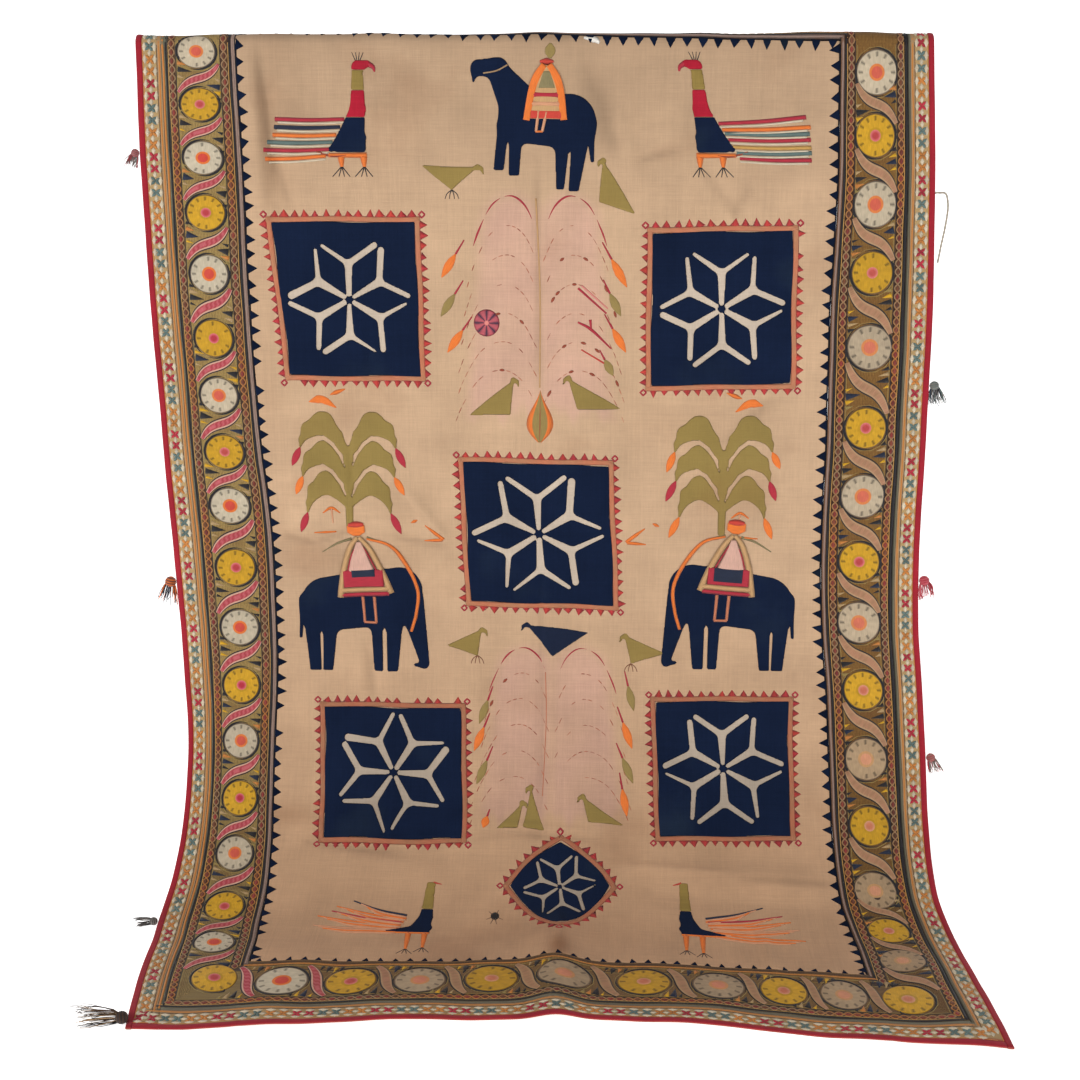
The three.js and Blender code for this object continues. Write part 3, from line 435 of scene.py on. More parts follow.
@dataclass(frozen=True)
class FieldGround:
    """The beige field, drawn on directly in distances across and along."""

    turned: bool = False

    def lay(self, first: Array, second: Array) -> tuple[Array, Array]:
        """Gives the two distances back as they are."""
        return first, second


class Side(Enum):
    """The four sides of the border."""

    LEFT = "left"
    RIGHT = "right"
    TOP = "top"
    BOTTOM = "bottom"


@dataclass(frozen=True)
class Strip:
    """One side of the border, drawn on as inward from the outer edge and along the side."""

    side: Side
    end_along: float = 1660.0

    @property
    def turned(self) -> bool:
        """Whether inward and along make a left-handed pair on this side."""
        return self.side in (Side.RIGHT, Side.TOP)

    def lay(self, first: Array, second: Array) -> tuple[Array, Array]:
        """Turns inward and along into distances across and along, with places past the seam on the field.

        Args:
            first: Distance inward from the outer edge.
            second: Distance along the side.

        Returns:
            Distance across and distance along.
        """
        share = np.minimum(first, BORDER_WIDTH) / BORDER_WIDTH
        extra = np.maximum(first - BORDER_WIDTH, 0.0)
        if self.side is Side.LEFT:
            return CLOTH.line_x(share, second) + extra, second
        if self.side is Side.RIGHT:
            return CLOTH.line_x(3.0 - share, second) - extra, second
        if self.side is Side.BOTTOM:
            row = FIELD_LENGTH + BORDER_WIDTH * (1.0 - share)
            return second, CLOTH.row_along(CLOTH.across_of(second, self.end_along), row) - extra
        row = BORDER_WIDTH * (share - 1.0)
        return second, CLOTH.row_along(CLOTH.across_of(second, 0.0), row) + extra

    def reach(self, inward: float) -> Pair:
        """Where a line this far inward starts and ends along the side, mitred with the two next sides."""
        share, row = inward / BORDER_WIDTH, BORDER_WIDTH - inward
        if self.side in (Side.LEFT, Side.RIGHT):
            across = share if self.side is Side.LEFT else 3.0 - share
            return float(CLOTH.row_along(across, -row)), float(CLOTH.row_along(across, FIELD_LENGTH + row))
        along = self.end_along if self.side is Side.BOTTOM else 0.0
        return float(CLOTH.line_x(share, along)), float(CLOTH.line_x(3.0 - share, along))


FIELD = FieldGround()
STRIPS = {side: Strip(side) for side in Side}
FLAT_PROFILE = np.array([-1.0, -0.6, 0.6, 1.0])
ROUND_PROFILE = np.array([-1.0, 0.0, 1.0])
WIDE_PROFILE = np.array([-1.0, -0.85, -0.6, -0.3, 0.0, 0.3, 0.6, 0.85, 1.0])
WIDE_HALF = 6.0
FULL_HALF = 2.0
LOW_END = 0.3
FLAT_SHIFT = 37.0
TUBE_ASIDE = np.array([0.13, 1.0, 0.07])
CUT_SHARES = (0.16, 0.84)
CUT_RISE = 0.3


def grid_faces(rows: int, columns: int, closed: bool = False) -> Array:
    """Corners of a grid's cells, downward then across; a closed grid joins its last column to its first."""
    at = np.arange(rows * columns).reshape(rows, columns)
    right = np.roll(at, -1, axis=1) if closed else at[:, 1:]
    left = at if closed else at[:, :-1]
    return np.stack([left[:-1], left[1:], right[1:], right[:-1]], axis=-1).reshape(-1, 4)


def cell_corners(grid: Array) -> list[Array]:
    """What a grid holds at the four corners of each cell, from the upper left to the right and round."""
    return [grid[:-1, :-1], grid[:-1, 1:], grid[1:, 1:], grid[1:, :-1]]


def copied(parts: Sequence[Array], count: int, size: int) -> list[Array]:
    """The faces of one part, repeated for a count of parts with this many vertices each."""
    starts = (np.arange(count) * size)[:, None, None]
    return [(part[None] + starts).reshape(-1, part.shape[1]) for part in parts]


def tube_faces(count: int, stations: int, points: int) -> list[Array]:
    """Faces of a count of tubes: the cells between their rings, and a fan that closes each end.

    Args:
        count: How many tubes.
        stations: Rings of a tube.
        points: Points of a ring.

    Returns:
        Corners of the cells, of the first ends and of the last ends.
    """
    fan = np.arange(1, points - 1)
    first = np.stack([0 * fan, fan, fan + 1], axis=1)
    last = (stations - 1) * points + first[:, ::-1]
    return copied([grid_faces(stations, points, closed=True), first, last], count, stations * points)


def marching_table() -> Array:
    """Triangles that fill the inside of a cell for each way that its four corners can lie inside.

    Corners 0 to 3 run from the upper left to the right and round, and 4 to 7 are the crossings of the upper,
    right, lower and left sides. The inside is the polygon of inside corners and crossings on a walk round.
    """
    sides = {4: (0, 1), 5: (1, 2), 6: (3, 2), 7: (0, 3)}
    table = np.full((16, 4, 3), -1)
    for case in range(16):
        inside = [bool(case >> corner & 1) for corner in range(4)]
        walk = [
            at
            for at in (0, 7, 3, 6, 2, 5, 1, 4)
            if (at < 4 and inside[at]) or (at > 3 and inside[sides[at][0]] != inside[sides[at][1]])
        ]
        for step in range(len(walk) - 2):
            table[case, step] = walk[0], walk[step + 1], walk[step + 2]
    return table


MARCHING_TABLE = marching_table()


class Piecework:
    """Parts laid side by side, gathered as arrays and built as one mesh."""

    def __init__(self) -> None:
        """Starts with no parts."""
        self.points: list[Array] = []
        self.flats: list[Array] = []
        self.tints: list[Array] = []
        self.faces: list[Array] = []
        self.count = 0

    def add(
        self, points: Array, flat: Array, tint: Array, faces: Sequence[Array], turned: bool = False
    ) -> None:
        """Adds vertices with their flat places and colours, and faces by their corners among them.

        Args:
            points: Vertices in metres.
            flat: Flat place of each vertex, in millimetres.
            tint: Linear colours that fit the vertices.
            faces: Arrays of triangles or four-sided faces.
            turned: Whether the faces are turned over.
        """
        self.points.append(points.reshape(-1, 3))
        self.flats.append(flat.reshape(-1, 2) * MM)
        self.tints.append(np.broadcast_to(tint, points.shape).reshape(-1, 3))
        self.faces.extend((part[:, ::-1] if turned else part) + self.count for part in faces)
        self.count += len(self.points[-1])

    def ribbons(
        self,
        centre: Array,
        half: Array | float,
        tint: Array,
        base: float,
        crown: float,
        ground: Ground = FIELD,
        profile: Array = ROUND_PROFILE,
    ) -> None:
        """Raised strips: a half-round profile carried along flat lines, closed below and at both ends.

        A point of the profile stands aside from the line by its share of the half width, and rises by the
        crown times the root of one less the fourth power of that share. Narrow ends stand lower.

        Args:
            centre: Lines, as strips by stations by 2.
            half: Half width at each station.
            tint: Colours that fit strips by stations by profile points by 3.
            base: Height of the edges out of the middle of the cloth.
            crown: Height of the middle above the edges.
            ground: What the lines are drawn on.
            profile: Places across, from -1 to 1.
        """
        strips, stations = centre.shape[:2]
        half = np.broadcast_to(half, (strips, stations))[:, :, None]
        way = unit(np.gradient(centre, axis=1))
        aside = np.stack([way[..., 1], -way[..., 0]], axis=2)
        offset = half * profile
        spots = centre[:, :, None] + aside[:, :, None] * offset[..., None]
        rise = np.clip(half / FULL_HALF, LOW_END, 1.0) * np.sqrt(1.0 - profile**4)
        flat = np.stack(np.broadcast_arrays(run_length(centre)[:, :, None], offset), axis=-1)
        flat = flat + FLAT_SHIFT * np.arange(strips)[:, None, None, None]
        x, along = ground.lay(spots[..., 0], spots[..., 1])
        faces = tube_faces(strips, stations, len(profile))
        self.add(CLOTH.place(x, along, base + crown * rise), flat, tint, faces, ground.turned)

    def discs(
        self,
        centre: Array,
        radii: Array,
        rings: Array,
        lifts: Array,
        tint: Array,
        base: float,
        ground: Ground = FIELD,
    ) -> None:
        """Low round parts: rings of points about a centre, closed below by a fan.

        Args:
            centre: Middle of each disc, as discs by 2.
            radii: Radius along each of the two flat directions, as discs by 2.
            rings: Rising shares of the radius, the last one 1.
            lifts: Height of each ring above the base.
            tint: Colours as discs by rings by points round by 3.
            base: Height of the rim out of the middle of the cloth.
            ground: What the discs are drawn on.
        """
        count, points = len(centre), tint.shape[2]
        spots = centre[:, None, None] + radii[:, None, None] * rings[:, None, None] * ways(circle(points))
        middle = centre[:, None]
        spots = np.concatenate([middle, spots.reshape(count, -1, 2), middle], axis=1)
        rise = np.concatenate([[lifts[0]], np.repeat(lifts, points), [0.0]])
        hues = tint.reshape(count, -1, 3)
        hues = np.concatenate([hues[:, :1], hues, hues[:, -1:]], axis=1)
        here = np.arange(points)
        following = np.roll(here, -1)
        inner = 1 + points * np.arange(len(rings) - 1)[:, None]
        outer = inner + points
        bands = np.stack([inner + here, inner + following, outer + following, outer + here], axis=-1)
        rim = 1 + points * (len(rings) - 1)
        top = np.stack([0 * here, 1 + following, 1 + here], axis=1)
        under = np.stack([0 * here + rim + points, rim + here, rim + following], axis=1)
        faces = copied([bands.reshape(-1, 4), top, under], count, spots.shape[1])
        x, along = ground.lay(spots[..., 0], spots[..., 1])
        self.add(CLOTH.place(x, along, base + rise), spots - middle, hues, faces, ground.turned)

    def patch(
        self,
        distance: Callable[[Array, Array], Array],
        box: tuple[float, float, float, float],
        step: float,
        tint: Array,
        low: float,
        high: float,
        roll: float = 2.4,
    ) -> None:
        """A thin patch of cloth: the inside of an outline on a grid, closed by a lower layer.

        The outline is where a signed distance is nought. Cells that it crosses are cut there, and the upper
        layer rises from the cut edge to its full height as a quarter circle.

        Args:
            distance: Signed distance to the outline for distances across and along, less than 0 inside.
            box: Lowest and highest distance across, then along.
            step: Size of the grid's cells.
            tint: Colour of the cloth.
            low: Height of the lower layer out of the middle of the field.
            high: Height of the upper layer.
            roll: How far from its edge the patch reaches full height.
        """
        runs = [np.arange(low_end, high_end + step, step) for low_end, high_end in (box[:2], box[2:])]
        x, along = np.meshgrid(*runs)
        apart = distance(x, along)
        rows, columns = x.shape
        inside = apart <= 0.0
        node = np.arange(rows * columns).reshape(rows, columns)
        first = np.concatenate([node[:, :-1].ravel(), node[:-1].ravel()])
        second = np.concatenate([node[:, 1:].ravel(), node[1:].ravel()])
        flat = np.stack([x.ravel(), along.ravel()], axis=1)
        near, far = apart.ravel()[first], apart.ravel()[second]
        share = np.clip(near / np.where(near == far, 1.0, near - far), *CUT_SHARES)[:, None]
        crossing = flat[first] * (1.0 - share) + flat[second] * share
        level = rows * columns + np.arange(rows * (columns - 1)).reshape(rows, columns - 1)
        upright = level[-1, -1] + 1 + np.arange((rows - 1) * columns).reshape(rows - 1, columns)
        sides = [level[:-1], upright[:, 1:], level[1:], upright[:, :-1]]
        names = np.stack(cell_corners(node) + sides, axis=-1).reshape(-1, 8)
        case = sum(flag.astype(int) << bit for bit, flag in enumerate(cell_corners(inside))).ravel()
        chosen = MARCHING_TABLE[case]
        picked = np.take_along_axis(names, np.maximum(chosen, 0).reshape(len(case), -1), axis=1)
        triangles = picked.reshape(-1, 3)[(chosen >= 0).all(axis=2).ravel()]
        every = np.concatenate([flat, crossing])
        rise = np.clip(-np.concatenate([apart.ravel(), np.zeros(len(crossing))]) / roll, 0.0, 1.0)
        used, triangles = np.unique(triangles, return_inverse=True)
        triangles = triangles.reshape(-1, 3)
        edge = used >= rows * columns
        upper = low + (high - low) * np.sqrt(1.0 - (1.0 - rise[used]) ** 2)
        under_name = np.where(edge, np.arange(len(used)), len(used) + np.cumsum(~edge) - 1)
        spots = np.concatenate([every[used], every[used][~edge]])
        upper = np.where(edge, low + CUT_RISE * (high - low), upper)
        lift = np.concatenate([upper, np.full((~edge).sum(), low)])
        faces = [triangles, under_name[triangles][:, ::-1]]
        self.add(CLOTH.place(spots[:, 0], spots[:, 1], lift), spots, tint, faces)

    def sheet(self, x: Array, along: Array, half: Array | float, flat: Array, tint: Array) -> None:
        """A closed sheet: a grid of places laid half a thickness above and below, with walls all round.

        Args:
            x: Distance across of each grid place.
            along: Distance along of each grid place.
            half: Half of the thickness.
            flat: Flat places for weave and stitch rows, as rows by columns by 2.
            tint: Colours of the upper and the lower layer, as 2 by rows by columns by 3.
        """
        rows, columns = x.shape
        faces = grid_faces(rows, columns)
        at = np.arange(rows * columns).reshape(rows, columns)
        rim = np.concatenate([at[0, :-1], at[:-1, -1], at[-1, :0:-1], at[:0:-1, 0]])
        following = np.roll(rim, -1)
        under = rows * columns
        walls = np.stack([rim, following, under + following, under + rim], axis=1)
        points = np.stack([CLOTH.place(x, along, half), CLOTH.place(x, along, -np.asarray(half))])
        self.add(points, np.stack([flat, flat]), tint, [faces, under + faces[:, ::-1], walls])

    def tubes(self, paths: Array, radius: Array, sides: int, tint: Array) -> None:
        """Round strands: a ring of points carried along lines in space, with both ends closed.

        Args:
            paths: Lines in metres, as strands by stations by 3.
            radius: Radius in metres that fits strands by stations by points round.
            sides: Points round.
            tint: Colours that fit strands by stations by points round by 3.
        """
        strands, stations = paths.shape[:2]
        way = unit(np.gradient(paths, axis=1))
        aside = unit(np.cross(TUBE_ASIDE, way))
        out = np.cross(way, aside)
        turn = circle(sides)
        ring = aside[:, :, None] * np.cos(turn)[:, None] + out[:, :, None] * np.sin(turn)[:, None]
        radius = np.broadcast_to(radius, (strands, stations, sides))
        points = paths[:, :, None] + ring * radius[..., None]
        flat = np.stack(np.broadcast_arrays(run_length(paths)[:, :, None], turn * radius), axis=-1) / MM
        self.add(points, flat, tint, tube_faces(strands, stations, sides), turned=True)

    def build(self, name: str, slot: str, finish: "Finish", nodes: Sequence[str] = ()) -> Piece:
        """Makes the mesh and its object, dresses it and seats it in the frame.

        Args:
            name: Name of the piece.
            slot: Not used.
            finish: What it is dressed in.
            nodes: Solids that it stands for.

        Returns:
            The finished object.
        """
        points = np.concatenate(self.points)
        corners = np.concatenate([part.ravel() for part in self.faces]).astype(np.int32)
        sizes = np.concatenate([np.full(len(part), part.shape[1]) for part in self.faces])
        starts = np.concatenate([[0], np.cumsum(sizes)[:-1]]).astype(np.int32)
        mesh = bpy.data.meshes.new(name)
        mesh.vertices.add(len(points))
        mesh.vertices.foreach_set("co", points.astype(np.float32).ravel())
        mesh.loops.add(len(corners))
        mesh.loops.foreach_set("vertex_index", corners)
        mesh.polygons.add(len(sizes))
        mesh.polygons.foreach_set("loop_start", starts)
        mesh.polygons.foreach_set("use_smooth", np.ones(len(sizes), bool))
        flats = np.concatenate(self.flats)[corners].astype(np.float32)
        mesh.uv_layers.new(name="flat")
        mesh.uv_layers["flat"].data.foreach_set("uv", flats.ravel())
        colours = np.pad(np.concatenate(self.tints), ((0, 0), (0, 1)), constant_values=1.0).astype(np.float32)
        mesh.color_attributes.new("tint", "FLOAT_COLOR", "POINT").data.foreach_set("color", colours.ravel())
        mesh.update(calc_edges=True)
        mesh.validate()
        mesh.materials.append(finish.material())
        piece = bpy.data.objects.new(name, mesh)
        bpy.context.scene.collection.objects.link(piece)
        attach(piece, BODY)
        if nodes:
            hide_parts(*nodes)
        LOG.info("%s: %d triangles", name, int((sizes - 2).sum()))
        return piece


class Signal:
    """A shader socket that takes part in sums."""

    def __init__(self, tree: bpy.types.NodeTree, socket: bpy.types.NodeSocket) -> None:
        """Keeps the node tree and the socket."""
        self.tree = tree
        self.socket = socket

    def _sum(self, operation: str, first: "Signal | float", second: "Signal | float") -> "Signal":
        """Adds a Math node for one operation on two values."""
        node = self.tree.nodes.new("ShaderNodeMath")
        node.operation = operation
        for slot, value in zip(node.inputs, (first, second)):
            if isinstance(value, Signal):
                self.tree.links.new(value.socket, slot)
            else:
                slot.default_value = value
        return Signal(self.tree, node.outputs[0])

    def __add__(self, other: "Signal | float") -> "Signal":
        """The sum of the two."""
        return self._sum("ADD", self, other)

    __radd__ = __add__

    def __mul__(self, other: "Signal | float") -> "Signal":
        """The product of the two."""
        return self._sum("MULTIPLY", self, other)

    __rmul__ = __mul__

    def __sub__(self, other: "Signal | float") -> "Signal":
        """This less the other."""
        return self._sum("SUBTRACT", self, other)

    def __rsub__(self, other: float) -> "Signal":
        """The other less this."""
        return self._sum("SUBTRACT", other, self)

    def held(self, low: float, high: float) -> "Signal":
        """This, kept between two values."""
        return self._sum("MINIMUM", self._sum("MAXIMUM", self, low), high)

    def wave(self) -> "Signal":
        """The sine of this."""
        return self._sum("SINE", self, 0.0)


class DyeBath:
    """The nodes of one material, with its weave read from the piece's own flat places."""

    def __init__(self, name: str) -> None:
        """Starts an empty material."""
        self.made = bpy.data.materials.new(name)
        self.made.use_nodes = True
        self.tree = self.made.node_tree
        self.tree.nodes.clear()

    def node(
        self,
        kind: str,
        settings: dict[str, Any] | None = None,
        inputs: dict[str | int, Any] | None = None,
        output: str | int = 0,
    ) -> Signal:
        """Adds a node.

        Args:
            kind: Its type.
            settings: Its settings, which are set first.
            inputs: Values or links of its sockets.
            output: The output to give back.

        Returns:
            That output as a signal.
        """
        made = self.tree.nodes.new(kind)
        for key, value in (settings or {}).items():
            setattr(made, key, value)
        for key, value in (inputs or {}).items():
            if isinstance(value, Signal):
                self.tree.links.new(value.socket, made.inputs[key])
            else:
                made.inputs[key].default_value = value
        return Signal(self.tree, made.outputs[output]) if made.outputs else Signal(self.tree, made.inputs[0])

    def flat(self) -> Signal:
        """The piece's flat places, in metres."""
        return self.node("ShaderNodeUVMap", {"uv_map": "flat"})

    def stretched(self, vector: Signal, first: float, second: float) -> Signal:
        """Flat places scaled by one number across and another along."""
        return self.node("ShaderNodeMapping", inputs={"Vector": vector, "Scale": (first, second, 1.0)})

    def noise(self, vector: Signal, scale: float, detail: float = 2.0) -> Signal:
        """Soft noise from 0 to 1."""
        return self.node("ShaderNodeTexNoise", inputs={"Vector": vector, "Scale": scale, "Detail": detail})

    def tint(self) -> Signal:
        """The piece's own dye at each vertex."""
        return self.node("ShaderNodeAttribute", {"attribute_name": "tint"}, output="Color")

    def worn(self, shade: Signal) -> Signal:
        """The dye times a shade."""
        return self.mix(1.0, self.tint(), shade, "MULTIPLY")

    def blots(self, vector: Signal, scale: float, detail: float, least: float, gain: float) -> Signal:
        """Soft blots from 0 to 1: noise past its least, times a gain."""
        return ((self.noise(vector, scale, detail) - least) * gain).held(0.0, 1.0)

    def mix(self, share: Signal | float, first: Any, second: Any, how: str = "MIX") -> Signal:
        """Two colours mixed, or one laid on the other in another way."""
        settings = {"data_type": "RGBA", "blend_type": how}
        return self.node("ShaderNodeMix", settings, {0: share, 6: first, 7: second}, output=2)

    def finish(
        self, colour: Signal, relief: Signal, depth: float, rough: float, gloss: float, sheen: float
    ) -> Material:
        """Joins colour and relief into a cloth shader.

        Args:
            colour: Colour over the surface.
            relief: Height of the threads, about 0 to 1.
            depth: Height of a thread in metres.
            rough: Roughness.
            gloss: Level of mirror light.
            sheen: Share of soft light from loose fibre.

        Returns:
            The material.
        """
        normal = self.node("ShaderNodeBump", inputs={"Height": relief, "Distance": depth, "Strength": 0.75})
        shader = self.node(
            "ShaderNodeBsdfPrincipled",
            inputs={
                "Base Color": colour,
                "Normal": normal,
                "Roughness": rough,
                "Specular IOR Level": gloss,
                "Sheen Weight": sheen,
                "Sheen Roughness": 0.6,
            },
        )
        self.node("ShaderNodeOutputMaterial", inputs={"Surface": shader})
        return self.made


LOOSE_FIBRE = 0.1


@dataclass(frozen=True)
class Finish:
    """What a piece is dressed in: a material that is made once."""

    name: str

    def material(self) -> Material:
        """The finish's material, made the first time that it is asked for."""
        return bpy.data.materials.get(self.name) or self.dyed(DyeBath(self.name))

    def dyed(self, bath: DyeBath) -> Material:
        """Joins this finish's colour and relief in an empty bath."""
        raise NotImplementedError


@dataclass(frozen=True)
class Cotton(Finish):
    """Hand-loom cotton: uneven threads both ways, slubs, soft patches of wear and brown stains."""

    pitch: float = 0.0011
    mottling: float = 0.16
    slub: float = 0.12
    stain: float = 0.25
    stain_colour: Dye = Dye.BROWN
    depth: float = 0.0005
    sheen: float = 0.1
    thread_run: float = 24.0
    wear_scale: float = 11.0
    stain_scale: float = 4.3
    roughness: float = 0.93

    def dyed(self, bath: DyeBath) -> Material:
        """Dye times mottling and slubs and a painted shade that darkens where the threads lie low, stains
        over it, and the two sets of threads as relief.
        """
        flat = bath.flat()
        close, long = 1.0 / self.pitch, 1.0 / (self.thread_run * self.pitch)
        warp = bath.noise(bath.stretched(flat, close, long), 1.0)
        weft = bath.noise(bath.stretched(flat, long, close), 1.0)
        wear = bath.noise(flat, self.wear_scale, 6.0)
        streak = bath.noise(bath.stretched(flat, 260.0, 5.0), 1.0, 3.0)
        streak = streak + bath.noise(bath.stretched(flat, 6.0, 300.0), 1.0, 3.0)
        shade = 1.0 + self.mottling * (wear - 0.5) * 2.0 + self.slub * (streak - 1.0)
        # Painted shade: darker where the warp and weft lie low.
        shade = shade * (0.9 + 0.2 * (warp + weft - 0.5).held(0.0, 1.0))
        blot = bath.blots(flat, self.stain_scale, 5.0, 0.56, 6.0)
        soiled = bath.mix(blot * self.stain, bath.worn(shade), (*self.stain_colour.rgb, 1.0))
        return bath.finish(soiled, warp + weft, self.depth, self.roughness, self.sheen, self.sheen)


@dataclass(frozen=True)
class Floss(Finish):
    """Laid thread: fine strands along or across a stitch, with faded and darker lengths."""

    pitch: float = 0.0008
    along: bool = True
    fading: float = 0.3
    gloss: float = 0.3
    strand_run: float = 16.0
    fade_scale: float = 60.0
    depth: float = 0.0006
    roughness: float = 0.66

    def dyed(self, bath: DyeBath) -> Material:
        """Dye times slow fading and the strands, darker where the strands lie low as painted shade, with the
        strands as relief.
        """
        flat = bath.flat()
        close, long = 1.0 / self.pitch, 1.0 / (self.strand_run * self.pitch)
        scales = (long, close) if self.along else (close, long)
        strands = bath.noise(bath.stretched(flat, *scales), 1.0, 1.0)
        fade = bath.noise(flat, self.fade_scale, 3.0)
        # Painted shade: the strand factor darkens where the strands lie low.
        shade = (1.0 + self.fading * (fade - 0.5)) * (0.72 + 0.56 * strands)
        return bath.finish(bath.worn(shade), strands, self.depth, self.roughness, self.gloss, LOOSE_FIBRE)


@dataclass(frozen=True)
class StitchRows(Finish):
    """Cloth covered by rows of chain stitch: rounded rows with a loop every few millimetres."""

    row: float = 0.0024
    loop: float = 0.0042
    waver: float = 0.0022
    speckles: Pair = (420.0, 180.0)
    blot_scale: float = 24.0
    depth: float = 0.0008
    roughness: float = 0.85
    gloss: float = 0.2

    def dyed(self, bath: DyeBath) -> Material:
        """Dye darkened between the rows as painted shade and speckled by the loops, with rows and loops as
        relief.
        """
        flat = bath.flat()
        shift = bath.noise(flat, 70.0, 2.0) * self.waver
        waves = []
        for output, pitch in enumerate((self.row, self.loop)):
            part = bath.node("ShaderNodeSeparateXYZ", inputs={"Vector": flat}, output=output)
            waves.append(((part + shift) * (2.0 * math.pi / pitch)).wave() * 0.5 + 0.5)
        rows, loops = waves
        relief = rows * 0.7 + rows * loops * 0.3
        speckle = bath.noise(bath.stretched(flat, *self.speckles), 1.0, 2.0)
        # Painted shade: darker where the rows and loops lie low.
        shade = (0.62 + 0.38 * relief) * (0.55 + 0.9 * speckle)
        blot = bath.blots(flat, self.blot_scale, 4.0, 0.5, 5.0)
        aged = bath.mix(blot * 0.4, bath.worn(shade), (*(0.6 * Dye.BROWN.rgb), 1.0))
        return bath.finish(aged, relief, self.depth, self.roughness, self.gloss, LOOSE_FIBRE)


FIELD_COTTON = Cotton("beige_hand_loom", mottling=0.22, slub=0.17, stain=0.3)
NAVY_COTTON = Cotton(
    "navy_hand_loom", pitch=0.0009, mottling=0.3, slub=0.25, stain=0.08, stain_colour=Dye.SLATE, sheen=0.02
)
OLIVE_COTTON = Cotton("olive_hand_loom", mottling=0.22, stain=0.2)
BINDING_COTTON = Cotton("red_binding_weave", pitch=0.0008, mottling=0.34, slub=0.3, stain=0.2)
BAND_COTTON = Cotton("cream_band_weave", pitch=0.0009, mottling=0.24, stain=0.35)
BORDER_ROWS = StitchRows("border_stitch_rows")
SATIN = Floss("satin_floss", along=False)
LAID = Floss("laid_floss")
STRAND = Floss("tassel_floss", pitch=0.0005, fading=0.5, gloss=0.2)
FIELD_TOP = 0.7
BAND_TOP = 1.0
BORDER_TOP = 1.1
PATCH_LOW = 0.85
PATCH_TOP = 1.95
SEWN_TOP = 1.9
PASS_STEP = 6.0
LINE_STEP = 9.0
LINE_WAVER = 0.4
LINE_TURN = 0.043


class Pass(NamedTuple):
    """A pass of thread or a narrow strip: its corners, half widths shared along it, dye and extra height."""

    corners: tuple[Pair, ...]
    halves: tuple[float, ...]
    dye: Dye
    lift: float = 0.0


def lay_passes(work: Piecework, passes: Sequence[Pass], base: float, ground: Ground = FIELD) -> None:
    """Lays passes as ribbons, with more points across the broad ones so that they follow the cloth.

    Args:
        work: What they are added to.
        passes: The passes, the lowest first.
        base: Height of their edges out of the middle of the cloth.
        ground: What they are drawn on.
    """
    for row in passes:
        corners = np.array(row.corners, float)
        count = 5 + int(np.linalg.norm(np.diff(corners, axis=0), axis=1).sum() / PASS_STEP)
        half = np.interp(np.linspace(0, 1, count), np.linspace(0, 1, len(row.halves)), row.halves)
        profile = WIDE_PROFILE if half.max() > WIDE_HALF else ROUND_PROFILE
        centre = bent_line(row.corners, count)[None]
        work.ribbons(centre, half[None], row.dye.rgb, base + row.lift, 1.0, ground, profile)


class Line(NamedTuple):
    """A couched line that runs round the border: distance inward, half width, height and dye."""

    inward: float
    half: float
    crown: float
    dye: Dye


def couch_lines(work: Piecework, strip: "Strip", lines: Sequence[Line], base: float) -> None:
    """Lays lines round one side of the border, each a low ribbon that wavers a little.

    Args:
        work: What they are added to.
        strip: The side.
        lines: The lines.
        base: Height of their edges out of the middle of the cloth.
    """
    for row in lines:
        start, end = strip.reach(min(row.inward, BORDER_WIDTH))
        run = np.linspace(start, end, int((end - start) / LINE_STEP))
        inward = row.inward + LINE_WAVER * np.sin(run * LINE_TURN + row.inward)
        centre = np.stack([inward, run], axis=1)[None]
        work.ribbons(centre, row.half, row.dye.rgb, base, row.crown, strip)


def soft_union(first: Array, second: Array, blend: float) -> Array:
    """The lesser of two distances, with the corner between them rounded over a blend."""
    share = np.clip(0.5 + 0.5 * (first - second) / blend, 0.0, 1.0)
    return first * (1.0 - share) + second * share - blend * share * (1.0 - share)


def stroke_distance(x: Array, y: Array, strokes: Sequence[Stroke], blend: float) -> Array:
    """Signed distance to joined strokes: the distance to each line less its radius there, softly joined.

    Args:
        x: Places to the figure's front.
        y: Places up from its middle.
        strokes: The figure's strokes.
        blend: How softly strokes run into each other.

    Returns:
        Distance, less than 0 inside.
    """
    total = np.full(np.shape(x), 1e3)
    for stroke in strokes:
        run_x, run_y = stroke.to_x - stroke.from_x, stroke.to_y - stroke.from_y
        share = ((x - stroke.from_x) * run_x + (y - stroke.from_y) * run_y) / (run_x**2 + run_y**2)
        share = np.clip(share, 0.0, 1.0)
        apart = np.hypot(x - stroke.from_x - share * run_x, y - stroke.from_y - share * run_y)
        apart = apart - stroke.from_radius - share * (stroke.to_radius - stroke.from_radius)
        total = soft_union(total, apart, blend)
    return total


def bowed(share: Array) -> Array:
    """A bow from 0 at share 0 to 1 in the middle and back: four times the share and the share left."""
    return 4.0 * share * (1.0 - share)


def corner_distance(x: Array, along: Array, corners: Array, sway: float, bulge: float = 0.0) -> Array:
    """Signed distance to a cut piece with straight sides: the farthest of its sides, each swaying a little.

    Args:
        x: Distances across.
        along: Distances along.
        corners: Its corners, clockwise as seen from the front.
        sway: How far a side wavers.
        bulge: How far the middle of a side bows outward.

    Returns:
        Distance, less than 0 inside.
    """
    sides = []
    for here, following in zip(corners, np.roll(corners, -1, axis=0)):
        length = np.linalg.norm(following - here)
        run = (following - here) / length
        share = ((x - here[0]) * run[0] + (along - here[1]) * run[1]) / length
        bow = sway * np.sin(share * length * 0.045 + here[0]) - bulge * bowed(np.clip(share, 0.0, 1.0))
        sides.append((x - here[0]) * run[1] - (along - here[1]) * run[0] + bow)
    return np.max(sides, axis=0)


class TreeSize(NamedTuple):
    """A faded tree: its name, middle line, first tier, how far apart tiers are, how many, and its reach."""

    name: str
    x: float
    along: float
    pitch: float
    tiers: int
    reach: float


TREES = (TreeSize("tree_upper", 17, 250, 46, 7, 106), TreeSize("tree_lower", 40, 996, 44, 6, 108))


class Zone(NamedTuple):
    """A strip of one colour in the border: how far inward it ends, and its dye."""

    end: float
    dye: Dye


